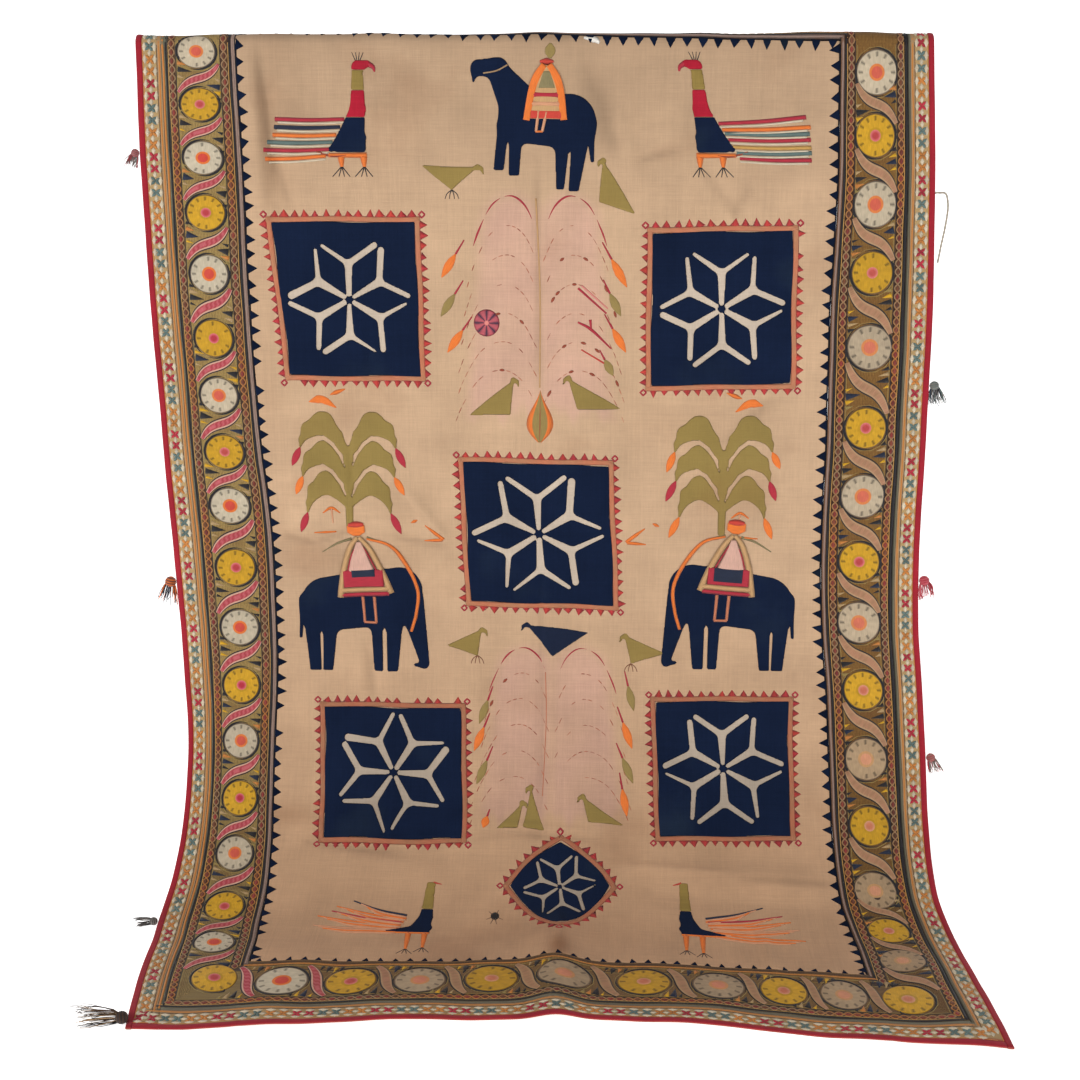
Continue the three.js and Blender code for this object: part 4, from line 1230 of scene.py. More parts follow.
BORDER_ZONES = table(
    Zone,
    (10, Dye.WINE), (33, Dye.STRAW), (39.5, Dye.TAN), (45, Dye.LICHEN), (51, Dye.INK), (62, Dye.SOIL),
    (133, Dye.MOSS), (146, Dye.SOIL), (151, Dye.INK), (156.5, Dye.MAUVE), (170, Dye.INK),
)


def zone_tint(inward: Array) -> Array:
    """Dye of the border's ground at distances inward."""
    dyes = linear_dyes([zone.dye for zone in BORDER_ZONES])
    return dyes[np.clip(np.searchsorted([zone.end for zone in BORDER_ZONES], inward), 0, len(dyes) - 1)]


def zone_columns(low: float, high: float, step: float) -> Array:
    """Places inward from low to high, close on either side of each change of dye."""
    limits = [zone.end for zone in BORDER_ZONES if low < zone.end < high]
    close = [limit + side for limit in limits for side in (-0.35, 0.35)]
    stops = np.array(sorted([low, high, *close]))
    return spread(*[(a, b, step) for a, b in zip(stops[:-1], stops[1:])])


@dataclass
class FieldPanel:
    """The beige middle panel, cut as one sheet and worn pink, brown and thin in places."""

    half: float = 0.7
    crease_shade: float = 0.06
    kept: Triple = (0.9, 0.86, 0.93)
    flat_size: Pair = (0.93, 1.6)
    columns: tuple[Triple, ...] = (
        (1, 1.09, 0.0045), (1.09, 1.492, 0.0065), (1.492, 1.512, 0.0033), (1.512, 2, 0.0065),
    )
    rows: tuple[Triple, ...] = ((0, 40, 2.8), (40, 1250, 6.4), (1250, 1600, 5.2))
    soil: tuple[tuple[float, float, float, float, float], ...] = (
        (62, 1562, 16, 34, 0.5), (-410, 1290, 60, 18, 0.22), (-400, 150, 40, 200, 0.1),
        (-300, 850, 120, 40, 0.08), (380, 1320, 160, 60, 0.1), (-430, 560, 30, 120, 0.08),
        (250, 620, 90, 50, 0.07), (0, 1510, 220, 40, 0.08),
    )

    def __post_init__(self) -> None:
        """Lays out the panel's grid between its four seams."""
        across, row = np.meshgrid(spread(*self.columns), spread(*self.rows))
        self.along = CLOTH.row_along(across, row)
        self.x = CLOTH.line_x(across, self.along)
        inset_edges(self.x, self.along)

    def tint(self) -> Array:
        """Beige, warmer and darker toward the foot as painted shade, with painted shade near the top fold and
        in the creases, pink left by the trees and soft brown soiling.
        """
        x, along = self.x, self.along
        # Painted shade: the beige, and the pink below, grow darker and warmer toward the foot.
        low = smooth_step(*FOOT_RUN, along)[..., None]
        colour = Dye.COTTON.rgb * (1.0 - low * np.array([0.09, 0.17, 0.22]))
        for tree in TREES:
            foot = tree.pitch * tree.tiers + 26.0
            outer = tree.reach * 0.5
            head, broad = (outer * 0.86, -outer * 0.92, outer * 0.9), outer * 1.1
            crowns = [Stroke(side * head[0], *head[1:], side * broad, -foot, broad) for side in (-1.0, 1.0)]
            ragged = 9.0 * np.sin(x * 0.11) + 5.0 * np.sin(x * 0.27 + 1.0)
            shape = stroke_distance(x - tree.x, tree.along - along, crowns, 12.0)
            shape = np.maximum(shape, along - tree.along - foot - ragged)
            patchy = 0.62 + 0.1 * np.sin(x * 0.043 + along * 0.021) * np.sin(along * 0.037)
            pink = (patchy * smooth_step(16.0, -16.0, shape))[..., None]
            colour = colour * (1.0 - pink) + pink * Dye.PINK.rgb * (1.0 - 0.3 * low)
        for spot_x, spot_along, wide, tall, depth in self.soil:
            spot = np.exp(-(((x - spot_x) / wide) ** 2) - ((along - spot_along) / tall) ** 2)[..., None]
            colour = colour * (1.0 - depth * spot * np.array([0.8, 1.0, 1.15]))
        # Painted shade: darker toward the top of the hanging, and most along the top fold.
        crest = 0.16 * smooth_step(330.0, 60.0, along) + 0.14 * np.exp(-((along / 22.0) ** 2))
        # Painted shade in the creases: the deeper the trough, the darker.
        trough = self.crease_shade * np.clip(-CLOTH.ridges(x, along, CREASES), 0.0, 4.0)
        return colour * (1.0 - crest - trough)[..., None]

    def worked_face(self, tint: Array) -> Array:
        """The panel's tint on its worked face, where round spots under the star patches have stayed pale, and
        darker toward the foot as painted shade.
        """
        x, along = self.x, self.along
        pale = np.array(self.kept) * Dye.CREAM.rgb
        # Painted shade: the pale spots grow darker toward the foot.
        pale = pale * (1.0 - 0.42 * smooth_step(*FOOT_RUN, along)[..., None])
        for star in STARS:
            clean = smooth_step(1.14, 1.04, np.hypot(x - star.x, along - star.along) / star.tip)[..., None]
            tint = tint * (1.0 - clean) + pale * clean
        return tint

    def build(self) -> Piece:
        """Builds the panel as one sheet, a little darker on its back."""
        work, tint = Piecework(), self.tint()
        flat = np.stack([self.x, self.along], axis=-1)
        work.sheet(self.x, self.along, self.half, flat, np.stack([self.worked_face(tint), tint * 0.96]))
        return work.build("field_cloth", "field_cotton", FIELD_COTTON, ["field_panel"])


def inset_edges(x: Array, along: Array) -> None:
    """Draws the four edges of a grid in by half of the gap at a seam."""
    gap = SEAM_GAP / 2.0
    x[:, 0] += gap
    x[:, -1] -= gap
    along[0] += gap
    along[-1] -= gap


class Layer(Enum):
    """The three strips of a side of the border, from the outside in."""

    BINDING = "binding"
    BAND = "band"
    BORDER = "border"


LAYER_LIMITS = {
    Layer.BINDING: (0.0, BINDING_WIDTH),
    Layer.BAND: (BINDING_WIDTH, BAND_EDGE),
    Layer.BORDER: (BAND_EDGE, BORDER_WIDTH),
}
LAYER_FINISHES = {Layer.BINDING: BINDING_COTTON, Layer.BAND: BAND_COTTON, Layer.BORDER: BORDER_ROWS}
LAYER_HALVES = {Layer.BAND: 1.1, Layer.BORDER: 1.2}
SIDE_WEAR = {Side.LEFT: (1.24, 1.28, 1.26), Side.RIGHT: (0.78, 0.6, 0.42), Side.BOTTOM: (0.96, 0.76, 0.48)}
# Painted shade: how much darker each layer grows toward the foot of the hanging.
LAYER_SHADE = {Layer.BINDING: 0.04, Layer.BAND: 0.14, Layer.BORDER: 0.3}
BOTTOM_LAST = 132.0


@dataclass
class BorderStrip:
    """One strip of one side of the border: the stitched border, the cream band or the rolled red binding."""

    side: Side
    layer: Layer
    row_step: float = 7.0
    fold_step: float = 2.8
    column_step: float = 5.2
    bead_half: Pair = (1.2, 2.2)
    foot_run: Pair = (900.0, 1560.0)

    def __post_init__(self) -> None:
        """Reads where the strip lies."""
        self.low, self.high = LAYER_LIMITS[self.layer]
        self.upright = self.side in (Side.LEFT, Side.RIGHT)

    def grid(self) -> tuple[Array, Array, Array]:
        """Grid of the strip: the two long sides take the corners, as they are cut.

        Returns:
            Across measure and row of each place, and its distance inward from the outer edge.
        """
        low, high, step, close = self.low, self.high, self.row_step, self.fold_step
        bead = self.layer is Layer.BINDING
        inward = np.linspace(low, high, 9) if bead else zone_columns(low, high, self.column_step)
        if self.upright:
            start = low - BORDER_WIDTH
            end = FIELD_LENGTH - start
            rows = spread((start, -40, step), (-40, 40, close), (40, 1250, step), (1250, end, 6.0))
            depth = inward if self.side is Side.LEFT else inward[::-1]
            share = depth / BORDER_WIDTH
            across, row = np.meshgrid(share if self.side is Side.LEFT else 3.0 - share, rows)
            return across, row, np.broadcast_to(depth, across.shape)
        share = high / BORDER_WIDTH
        sides = [(share, 1.0, 0.03), (1.0, 2.0, 0.0065), (2.0, 3.0 - share, 0.03)]
        columns = spread(*[run for run in sides if run[1] > run[0] + 1e-6])
        depth, rows = inward[::-1], FIELD_LENGTH + BORDER_WIDTH - inward[::-1]
        if self.side is Side.TOP:
            runs = ((low, 118, self.column_step), (118, high, close))
            depth = spread(*runs) if self.layer is Layer.BORDER else inward
            rows = depth - BORDER_WIDTH
        across, row = np.meshgrid(columns, rows)
        return across, row, np.broadcast_to(depth[:, None], across.shape)

    def frame_inward(self, across: Array, row: Array) -> Array:
        """Distance inward from the nearest outer edge, so that the zones turn the corners."""
        sideways = np.minimum(np.minimum(across, 3.0 - across), 1.0) * BORDER_WIDTH
        inward = np.minimum(sideways, np.minimum(row + BORDER_WIDTH, FIELD_LENGTH + BORDER_WIDTH - row))
        return np.minimum(inward, BOTTOM_LAST) if self.side is Side.BOTTOM else inward

    def build(self) -> Piece:
        """Builds the strip; a binding is a bead, thickest in its middle and a little puckered."""
        across, row, depth = self.grid()
        along = CLOTH.row_along(across, row)
        x = CLOTH.line_x(across, along)
        inset_edges(x, along)
        half = np.full(depth.shape, LAYER_HALVES.get(self.layer, 0.0))
        if self.layer is Layer.BINDING:
            share = (depth - self.low) / (self.high - self.low)
            bulge = np.clip(1.0 - (2.0 * share - 1.0) ** 2, 0.0, 1.0)
            thin, thick = self.bead_half
            half = thin + (thick - thin) * np.sqrt(bulge) + 0.25 * np.sin(along * 0.31 + x * 0.27) * bulge
        inward = self.frame_inward(across, row)
        # Painted shade toward the foot of the hanging.
        shade = 1.0 - LAYER_SHADE[self.layer] * smooth_step(*self.foot_run, along)
        tint = zone_tint(inward) * shade[..., None]
        if self.layer is Layer.BORDER:
            tint = tint * np.array(SIDE_WEAR.get(self.side, (1.0, 1.0, 1.0)))
        back = 0.55 * tint + 0.45 * Dye.TAN.rgb
        work = Piecework()
        flat = np.stack([inward, along if self.upright else x], axis=-1)
        work.sheet(x, along, half, flat, np.stack([tint, back]))
        node = f"{self.layer.value}_{self.side.value}"
        return work.build(f"{node}_cloth", f"{self.layer.value}_cloth", LAYER_FINISHES[self.layer], [node])


def build_border() -> None:
    for side in Side:
        made = {layer: BorderStrip(side, layer).build() for layer in Layer}


@dataclass
class SideStitching:
    """Stitching on one side of the border, gathered as one piece."""

    side: Side
    seed: int
    top: float = FIELD_TOP

    def __post_init__(self) -> None:
        """Starts with no stitches."""
        self.strip = STRIPS[self.side]
        self.upright = self.side in (Side.LEFT, Side.RIGHT)
        self.bottom = self.side is Side.BOTTOM
        self.random = np.random.default_rng(self.seed)
        self.work = Piecework()

    def uneven(self, low: float, high: float, count: int) -> Array:
        """A column of random shares, one for each of a count of stitches."""
        return self.random.uniform(low, high, (count, 1))

    def lay(self, centre: Array, half: Array | float, tint: Array, crown: float, *profile: Array) -> None:
        """Lays ribbons on the side, out of the top of its cloth."""
        self.work.ribbons(centre, half, tint, self.top, crown, self.strip, *profile)


FLOWER_FADE = {Side.LEFT: 0.05, Side.TOP: 0.2, Side.RIGHT: 0.25, Side.BOTTOM: 0.75}
BAR_FADE = {Side.LEFT: 0.05, Side.TOP: 0.2, Side.RIGHT: 0.9, Side.BOTTOM: 0.95}
BAR_PROFILE = np.array([-1.0, -0.8, -0.74, -0.56, -0.5, -0.2, 0.2, 0.5, 0.56, 0.74, 0.8, 1.0])
BAR_STATIONS = 19
FLOWER_PLACES = {
    Side.LEFT: (
        33, 114, 194, 280, 375, 478, 572, 667, 757, 862, 968, 1070, 1166, 1264, 1360, 1464, 1554, 1656,
    ),
    Side.RIGHT: (64, 160, 265, 370, 487, 618, 730, 840, 946, 1062, 1178, 1290, 1404, 1486, 1566, 1668),
    Side.TOP: (-455, -352, -250, -150, -46, 60, 164, 268, 372, 470),
    Side.BOTTOM: (-347, -244, -142, -37, 73, 192, 302, 398, 482),
}
FLAP_CORNERS = {Side.LEFT: -62.0, Side.RIGHT: -38.0}
FLAP_PITCH = 88.0
BORDER_LINES = table(
    Line,
    (47.6, 1.9, 0.7, Dye.INK), (51.2, 0.9, 0.6, Dye.GOLD), (62.6, 1, 0.7, Dye.INK),
    (65, 0.8, 0.6, Dye.OLIVE), (130, 0.8, 0.6, Dye.OLIVE), (132.4, 1, 0.7, Dye.INK),
    (145.8, 0.9, 0.6, Dye.GOLD), (148.6, 1.7, 0.7, Dye.INK), (153.4, 1.6, 1.2, Dye.MAUVE),
)
HEM_LINES = BORDER_LINES[:6] + table(
    Line,
    (142, 1, 0.7, Dye.OLIVE), (148, 1.6, 0.8, Dye.OCHRE), (153.5, 2.2, 0.8, Dye.SOIL),
)


class Wedge(NamedTuple):
    """A filling wedge: how far beside its bar, length, half width, and the dyes that it may have."""

    shift: float
    length: float
    half: float
    dyes: tuple[Dye, Dye, Dye]


WEDGES = table(
    Wedge,
    (14, 19, 6.6, (Dye.INK, Dye.INK, Dye.NAVY)), (24, 14, 4.6, (Dye.OCHRE, Dye.STRAW, Dye.MUSTARD)),
    (4, 10, 3.2, (Dye.STRAW, Dye.MUSTARD, Dye.INK)), (33, 11, 4, (Dye.INK, Dye.OLIVE, Dye.INK)),
)


class Rim(NamedTuple):
    """A line about a flower: its start and end in half turns, gap, half width and dye."""

    start: float
    end: float
    gap: float
    half: float
    dye: Dye


RIMS = table(
    Rim,
    (-0.3, 0.62, 1.8, 2.5, Dye.INK), (0.7, 1.62, 1.8, 2.5, Dye.INK), (0, 1.9, 4.2, 0.9, Dye.OLIVE),
)
RIM_STATIONS = 14


@dataclass
class BorderStitching(SideStitching):
    """The worked border: medallions, slanting leaf bars, braided chains and couched lines."""

    top: float = BORDER_TOP
    chains: tuple[float, ...] = (56.4, 139.0)
    chain_pitch: float = 13.0
    chain_reach: float = 4.4
    chain_half: float = 1.25
    lens_half: float = 3.2
    flower_inward: float = 97.5
    flower_radius: float = 32.5
    pitch_share: float = 0.335
    run_radii: Pair = (27.0, 34.0)
    bottom_pitch_share: float = 0.37
    bottom_run_radii: Pair = (34.0, 40.0)
    bottom_growth: float = 2.0
    left_share: float = 0.93
    right_shares: Pair = (1.06, 0.99)
    bottom_shift: float = 6.0
    corner_shift: float = 16.0
    corner_growth: float = 4.0
    flap_inward: float = 88.0
    inner_foot: float = 65.0
    outer_foot: float = 130.5
    hem_foot: float = 142.0
    rings: tuple[float, ...] = (0.1, 0.13, 0.25, 0.28, 0.36, 0.39, 0.66, 0.7, 0.88, 0.92, 1.0)
    ring_lifts: tuple[float, ...] = (1.3, 1.2, 1.1, 0.8, 1.0, 0.7, 1.05, 1.0, 0.9, 0.8, 0.1)
    spokes: int = 48

    def chain(self, inward: float) -> None:
        """A braid: two threads that swing as sine waves and cross, with a lens of red thread in each eye.

        Args:
            inward: Where it runs.
        """
        start, end = self.strip.reach(inward)
        eyes = int((end - start) / self.chain_pitch)
        run = np.linspace(start, end, eyes * 6 + 1)
        swing = self.chain_reach * np.sin(math.pi * np.linspace(0.0, eyes, len(run)))
        centre = np.stack([np.stack([inward + turn * swing, run], axis=1) for turn in (1.0, -1.0)])
        gold = 0.78 * mixed(Dye.OCHRE, Dye.TAN, 0.5 + 0.5 * np.sin(run * 0.021))
        self.lay(centre, self.chain_half, gold[None, :, None], 1.0)
        pitch = (end - start) / eyes
        middle = start + pitch * (np.arange(eyes)[:, None] + 0.5)
        share = np.linspace(-1.0, 1.0, 5)
        lens = np.stack(np.broadcast_arrays(inward, middle + 0.42 * pitch * share), axis=2)
        tint = mixed(Dye.BROWN, Dye.CRIMSON, self.random.uniform(0.0, 0.6, eyes))
        tint = tint * self.uneven(0.45, 0.9, eyes)
        self.lay(lens, self.lens_half * np.cos(0.5 * math.pi * share) + 0.25, tint[:, None, None], 0.8)

    def flowers(self) -> tuple[Array, Array, Array]:
        """Lays out this side's medallions, with a larger one in each corner.

        Returns:
            Inward and run of their middles, their two radii, and which of them are mustard.
        """
        run = np.array(FLOWER_PLACES[self.side], float)
        pitch = np.gradient(run)
        inward = np.full(len(run), self.flower_inward)
        if self.upright:
            inward[-1] += self.corner_shift
            run, pitch = np.append(run, FLAP_CORNERS[self.side]), np.append(pitch, FLAP_PITCH)
            inward = np.append(inward, self.flap_inward)
        odd = np.arange(len(run)) % 2 == 1
        run_radius = np.clip(self.pitch_share * pitch, *self.run_radii)
        radii = np.stack([np.full(len(run), self.flower_radius), run_radius], axis=1)
        even_share, odd_share = self.right_shares
        uneven = np.where(odd, odd_share, even_share)[:, None]
        radii *= {Side.LEFT: self.left_share, Side.RIGHT: uneven}.get(self.side, 1.0)
        if self.upright:
            odd[-1] = self.side is Side.LEFT
            radii[-2] += self.corner_growth
        if self.bottom:
            inward += self.bottom_shift
            radii[:, 0] += self.bottom_growth
            radii[:, 1] = np.clip(self.bottom_pitch_share * pitch, *self.bottom_run_radii)
        return np.stack([inward, run], axis=1), radii, odd

    def flower_tint(self, run: Array, odd: Array) -> Array:
        """Dyes of medallions: petals with dark ticks near the rim, a halo, an eye and a dark edge.

        Args:
            run: Where they are along the side.
            odd: Which of them are mustard.

        Returns:
            Linear colours as medallions by rings by spokes by 3.
        """
        count = len(run)
        ring = np.array(self.rings)[None, :, None, None]
        spoke = np.arange(self.spokes)[None, None, :, None]
        mustard = odd[:, None, None, None]
        fade = FLOWER_FADE[self.side] + self.random.uniform(-0.1, 0.2, count)
        if self.side is Side.RIGHT:
            fade = fade + 0.6 * smooth_step(800.0, 1300.0, run)
        if self.bottom:
            fade = fade * smooth_step(-330.0, -120.0, run)
        fade = np.clip(fade, 0.0, 1.0)[:, None, None]
        cream = mixed(Dye.CREAM, Dye.WHEAT, 0.75 * fade) * (0.92 - 0.16 * fade)[..., None]
        petals = np.where(mustard, Dye.MUSTARD.rgb, cream)
        petals = petals * (0.95 + 0.05 * np.cos(spoke * 2.0 * math.pi / 4.0))
        petals = petals * self.random.uniform(0.84, 1.04, (count, 1, 1, 1))
        tint = np.broadcast_to(petals, (count, len(self.rings), self.spokes, 3))
        ticked = (spoke % 4 == 0) & (self.random.random((count, 1, self.spokes, 1)) < 0.8)
        tint = np.where((ring > 0.68) & (ring < 0.9) & ticked, tint * 0.28, tint)
        halo = 0.9 * mixed(Dye.ORANGE, Dye.WHEAT, fade)
        halo = np.where(mustard, Dye.MUSTARD.rgb * 0.75, halo)
        tint = np.where((ring > 0.26) & (ring < 0.37), halo, tint)
        eye, rose = (mixed(dye, Dye.PEACH, fade) for dye in (Dye.SCARLET, Dye.ROSE))
        dot = mixed(Dye.CRIMSON, Dye.SALMON, fade)
        tint = np.where(ring < 0.26, np.where(mustard, np.where(ring < 0.14, dot, rose), eye), tint)
        return np.where(ring > 0.95, Dye.SOIL.rgb, tint)

    def medallions(self) -> None:
        """Round flowers, cream and mustard by turns, with broken dark lines about them."""
        centre, radii, odd = self.flowers()
        tint = self.flower_tint(centre[:, 1], odd)
        centre = centre + self.random.normal(0.0, 0.8, centre.shape)
        rings, lifts = np.array(self.rings), np.array(self.ring_lifts)
        self.work.discs(centre, radii, rings, lifts, tint, self.top, self.strip)
        for rim in RIMS:
            turn = math.pi * np.linspace(rim.start, rim.end, RIM_STATIONS)
            lines = centre[:, None] + (radii[:, None] + rim.gap) * ways(turn)
            lines[..., 0] = np.clip(lines[..., 0], 64.0, 146.0 if self.bottom else 131.5)
            width = 0.5 + (rim.half - 0.5) * np.sin(math.pi * np.linspace(0.0, 1.0, RIM_STATIONS))
            self.lay(lines, width, rim.dye.rgb, 0.7)

    def leaf_bars(self) -> None:
        """S-shaped bars between medallions: a hatched red or faded middle, pale edges and a dark rim."""
        run = np.array(FLOWER_PLACES[self.side], float)
        if self.bottom:
            run = np.concatenate([[run[0] - 102.0], run, [run[-1] + 92.0]])
        middle, room = (run[1:] + run[:-1]) / 2.0, np.diff(run)[:, None]
        share = np.linspace(0.0, 1.0, BAR_STATIONS)
        lean = {Side.RIGHT: 0.31, Side.BOTTOM: 0.17}.get(self.side, 0.26)
        swing = 1.0 - 2.0 * share
        along = middle[:, None] + lean * room * (0.4 * swing + 0.6 * swing**3)
        inward = self.inner_foot + (76.0 if self.bottom else 65.0) * share
        half = np.clip(0.1 * room, 8.0, 11.0) * np.sin(math.pi * (0.06 + 0.88 * share)) ** 0.5
        fade = BAR_FADE[self.side] * np.ones(along.shape)
        if self.bottom:
            fade *= smooth_step(-330.0, -160.0, middle)[:, None]
        hatch = (np.arange(BAR_STATIONS) % 2)[None] * (self.random.random(along.shape) < 0.85)
        old = fade[..., None]
        vivid = 0.8 * mixed(Dye.CRIMSON, Dye.ROSE, 0.8 * hatch)
        faded = 0.82 * mixed(Dye.PEACH, Dye.TAN, 0.55 + 0.35 * hatch)
        body = vivid * (1.0 - old) + faded * old
        core = 0.8 * mixed(Dye.ROSE, Dye.CRIMSON, 0.9 * hatch) * (1.0 - old) + 0.92 * faded * old
        edge = mixed(Dye.PINK, Dye.TAN, 0.2 + 0.8 * fade)
        rim = np.broadcast_to(Dye.INK.rgb, body.shape)
        tint = np.stack((rim, rim, edge, edge, body, core, core, body, edge, edge, rim, rim), axis=2)
        self.lay(np.stack(np.broadcast_arrays(inward, along), axis=2), half, tint, 1.0, BAR_PROFILE)
        self.fill(middle)

    def fill(self, middle: Array) -> None:
        """Small dark, gold and pale wedges that fill the corners beside each leaf bar.

        Args:
            middle: Where the bars are.
        """
        count = len(middle)
        share = np.linspace(0.0, 1.0, 4)
        for foot, turn in ((self.inner_foot, -1.0), (self.hem_foot if self.bottom else self.outer_foot, 1.0)):
            for wedge in WEDGES:
                reach = -turn * wedge.length * share * self.uneven(0.8, 1.2, count)
                aside = middle[:, None] + turn * (wedge.shift - 4.0 * share)
                dyes = linear_dyes(wedge.dyes)
                tint = dyes[self.random.integers(0, len(dyes), count)]
                taper = wedge.half * (1.0 - 0.92 * share) * self.uneven(0.8, 1.15, count)
                self.lay(np.stack([foot + reach, aside], axis=2), taper, tint[:, None, None], 0.6)

    def build(self) -> Piece:
        """Builds the side's stitching; the bottom side has a hem of plain lines and one braid."""
        couch_lines(self.work, self.strip, HEM_LINES if self.bottom else BORDER_LINES, self.top)
        for inward in self.chains[:1] if self.bottom else self.chains:
            self.chain(inward)
        self.leaf_bars()
        self.medallions()
        return self.work.build(f"border_{self.side.value}_stitching", "border_cloth", SATIN)


BAND_LINES = table(
    Line,
    (11, 1, 0.6, Dye.OCHRE), (33, 1, 0.6, Dye.SOIL), (36.4, 1.5, 0.7, Dye.OCHRE), (40, 0.8, 0.6, Dye.SOIL),
    (42.6, 2, 0.7, Dye.OCHRE),
)


@dataclass
class BandStitching(SideStitching):
    """The cream band: crosses of four petals in pairs of one colour, with cream lozenges between."""

    top: float = BAND_TOP
    inward: float = 21.8
    pitch: float = 18.6
    petal: Triple = (0.3, 9.4, 3.0)
    dyes: tuple[Dye, ...] = (Dye.CRIMSON, Dye.SLATE, Dye.OCHRE)

    def petals(self, run: Array, tint: Array) -> None:
        """Four pointed petals on the diagonals of each cross, each a short ribbon widest near its tip.

        Args:
            run: Where the crosses are.
            tint: Colour of each cross.
        """
        start, end, half = self.petal
        share = np.linspace(0.0, 1.0, 4)
        width = half * np.array([0.45, 0.95, 0.85, 0.1])
        for turn in np.pi * (0.25 + 0.5 * np.arange(4)):
            swing = turn + self.random.normal(0.0, 0.1, (len(run), 1))
            radius = start + (end - start) * share * self.uneven(0.88, 1.08, len(run))
            spots = (self.inward + radius * np.cos(swing), run[:, None] + radius * np.sin(swing))
            self.lay(np.stack(spots, axis=2), width, tint[:, None, None], 0.8)

    def lozenges(self, run: Array) -> None:
        """Cream lozenges on both sides of each cross, and a small one between neighbours.

        Args:
            run: Where the crosses are.
        """
        share = np.linspace(-1.0, 1.0, 5)
        for aside, shift, length, half in ((-8.0, 0.0, 7.4, 4.0), (8.0, 0.0, 7.4, 4.0), (0.0, 0.5, 5.2, 3.6)):
            middle = run + shift * self.pitch + self.random.normal(0.0, 0.3, len(run))
            centre = np.broadcast_arrays(self.inward + aside, middle[:, None] + length * share)
            width = half * (1.0 - np.abs(share)) ** 0.7 + 0.2
            tint = Dye.CREAM.rgb * self.uneven(0.82, 1.08, len(run))
            self.lay(np.stack(centre, axis=2), width, tint[:, None, None], 0.9)

    def build(self) -> Piece:
        """Builds the side's stitching, with one couched line more on the left and the top."""
        start, end = self.strip.reach(self.inward)
        count = round((end - start) / self.pitch)
        run = start + (end - start) * (np.arange(count) + 0.5) / count
        dyes = linear_dyes(self.dyes)
        tint = dyes[(np.arange(count) // 2) % len(dyes)] * self.uneven(0.8, 1.15, count)
        self.lozenges(run)
        self.petals(run, tint)
        lines = BAND_LINES if self.side in (Side.LEFT, Side.TOP) else BAND_LINES[:-1]
        couch_lines(self.work, self.strip, lines, self.top)
        return self.work.build(f"band_{self.side.value}_stitching", "band_cloth", SATIN)


@dataclass
class SeamTeeth:
    """Navy points along the seams of the field, cut from one folded strip on each side."""

    seed: int = 5
    pitch: float = 24.4
    reach: float = 15.2
    half: float = 9.2
    bottom_share: float = 0.62
    bottom_pitch_share: float = 0.94
    missing: float = 0.02
    line: Line = Line(BORDER_WIDTH + 1.0, 1.2, 0.7, Dye.INK)

    def build(self) -> Piece:
        """Each point is a short ribbon that narrows evenly inward."""
        work = Piecework()
        share = np.linspace(0.0, 1.0, 4)
        for order, side in enumerate(Side):
            random = np.random.default_rng(self.seed + order)
            strip = STRIPS[side]
            start, end = strip.reach(BORDER_WIDTH)
            pitch = self.pitch * (self.bottom_pitch_share if side is Side.BOTTOM else 1.0)
            count = round((end - start) / pitch)
            middle = start + (end - start) * (np.arange(count) + 0.5) / count + random.normal(0.0, 0.9, count)
            middle = middle[random.random(count) > self.missing]
            count = len(middle)
            part = self.bottom_share if side is Side.BOTTOM else 1.0
            reach = self.reach * random.uniform(0.8, 1.1, (count, 1)) * part
            lean = random.normal(0.0, 1.2, (count, 1)) * share
            centre = np.stack([BORDER_WIDTH + 0.4 + reach * share, middle[:, None] + lean], axis=2)
            half = self.half * (1.0 - share) * random.uniform(0.8, 1.05, (count, 1)) * part + 0.25
            tint = Dye.NAVY.rgb * random.uniform(0.5, 0.9, (count, 1))
            work.ribbons(centre, half, tint[:, None, None], FIELD_TOP, 0.9, strip, FLAT_PROFILE)
            if side is not Side.BOTTOM:
                couch_lines(work, strip, [self.line], FIELD_TOP)
        return work.build("seam_teeth", "navy_cotton", NAVY_COTTON)


class StarSize(NamedTuple):
    """A navy patch: middle, size, taper, slant and turn, reach, notch and turn of its star, and its bow."""

    name: str
    x: float
    along: float
    width: float
    height: float
    taper: float
    slant: float
    turn: float
    tip: float
    notch: float
    star_turn: float
    bulge: float = 0.0


STARS = table(
    StarSize,
    ("star_upper_left", -291, 416, 222, 246, 17, 14, 0, 94, 57, 0),
    ("star_upper_right", 308, 428, 224, 243, -5, -1, 1, 95, 57, 2),
    ("star_centre", 16, 801, 240, 238, -2, 16, -1, 104, 60, 3),
    ("star_lower_left", -228, 1215, 233, 221, 1, 10, 0, 98, 58, 28),
    ("star_lower_right", 329, 1199, 220, 227, 7, 1, 1, 97, 57, 2),
    ("star_point", 59, 1408, 115, 115, 0, 0, 46, 58, 33, 8, 9),
)


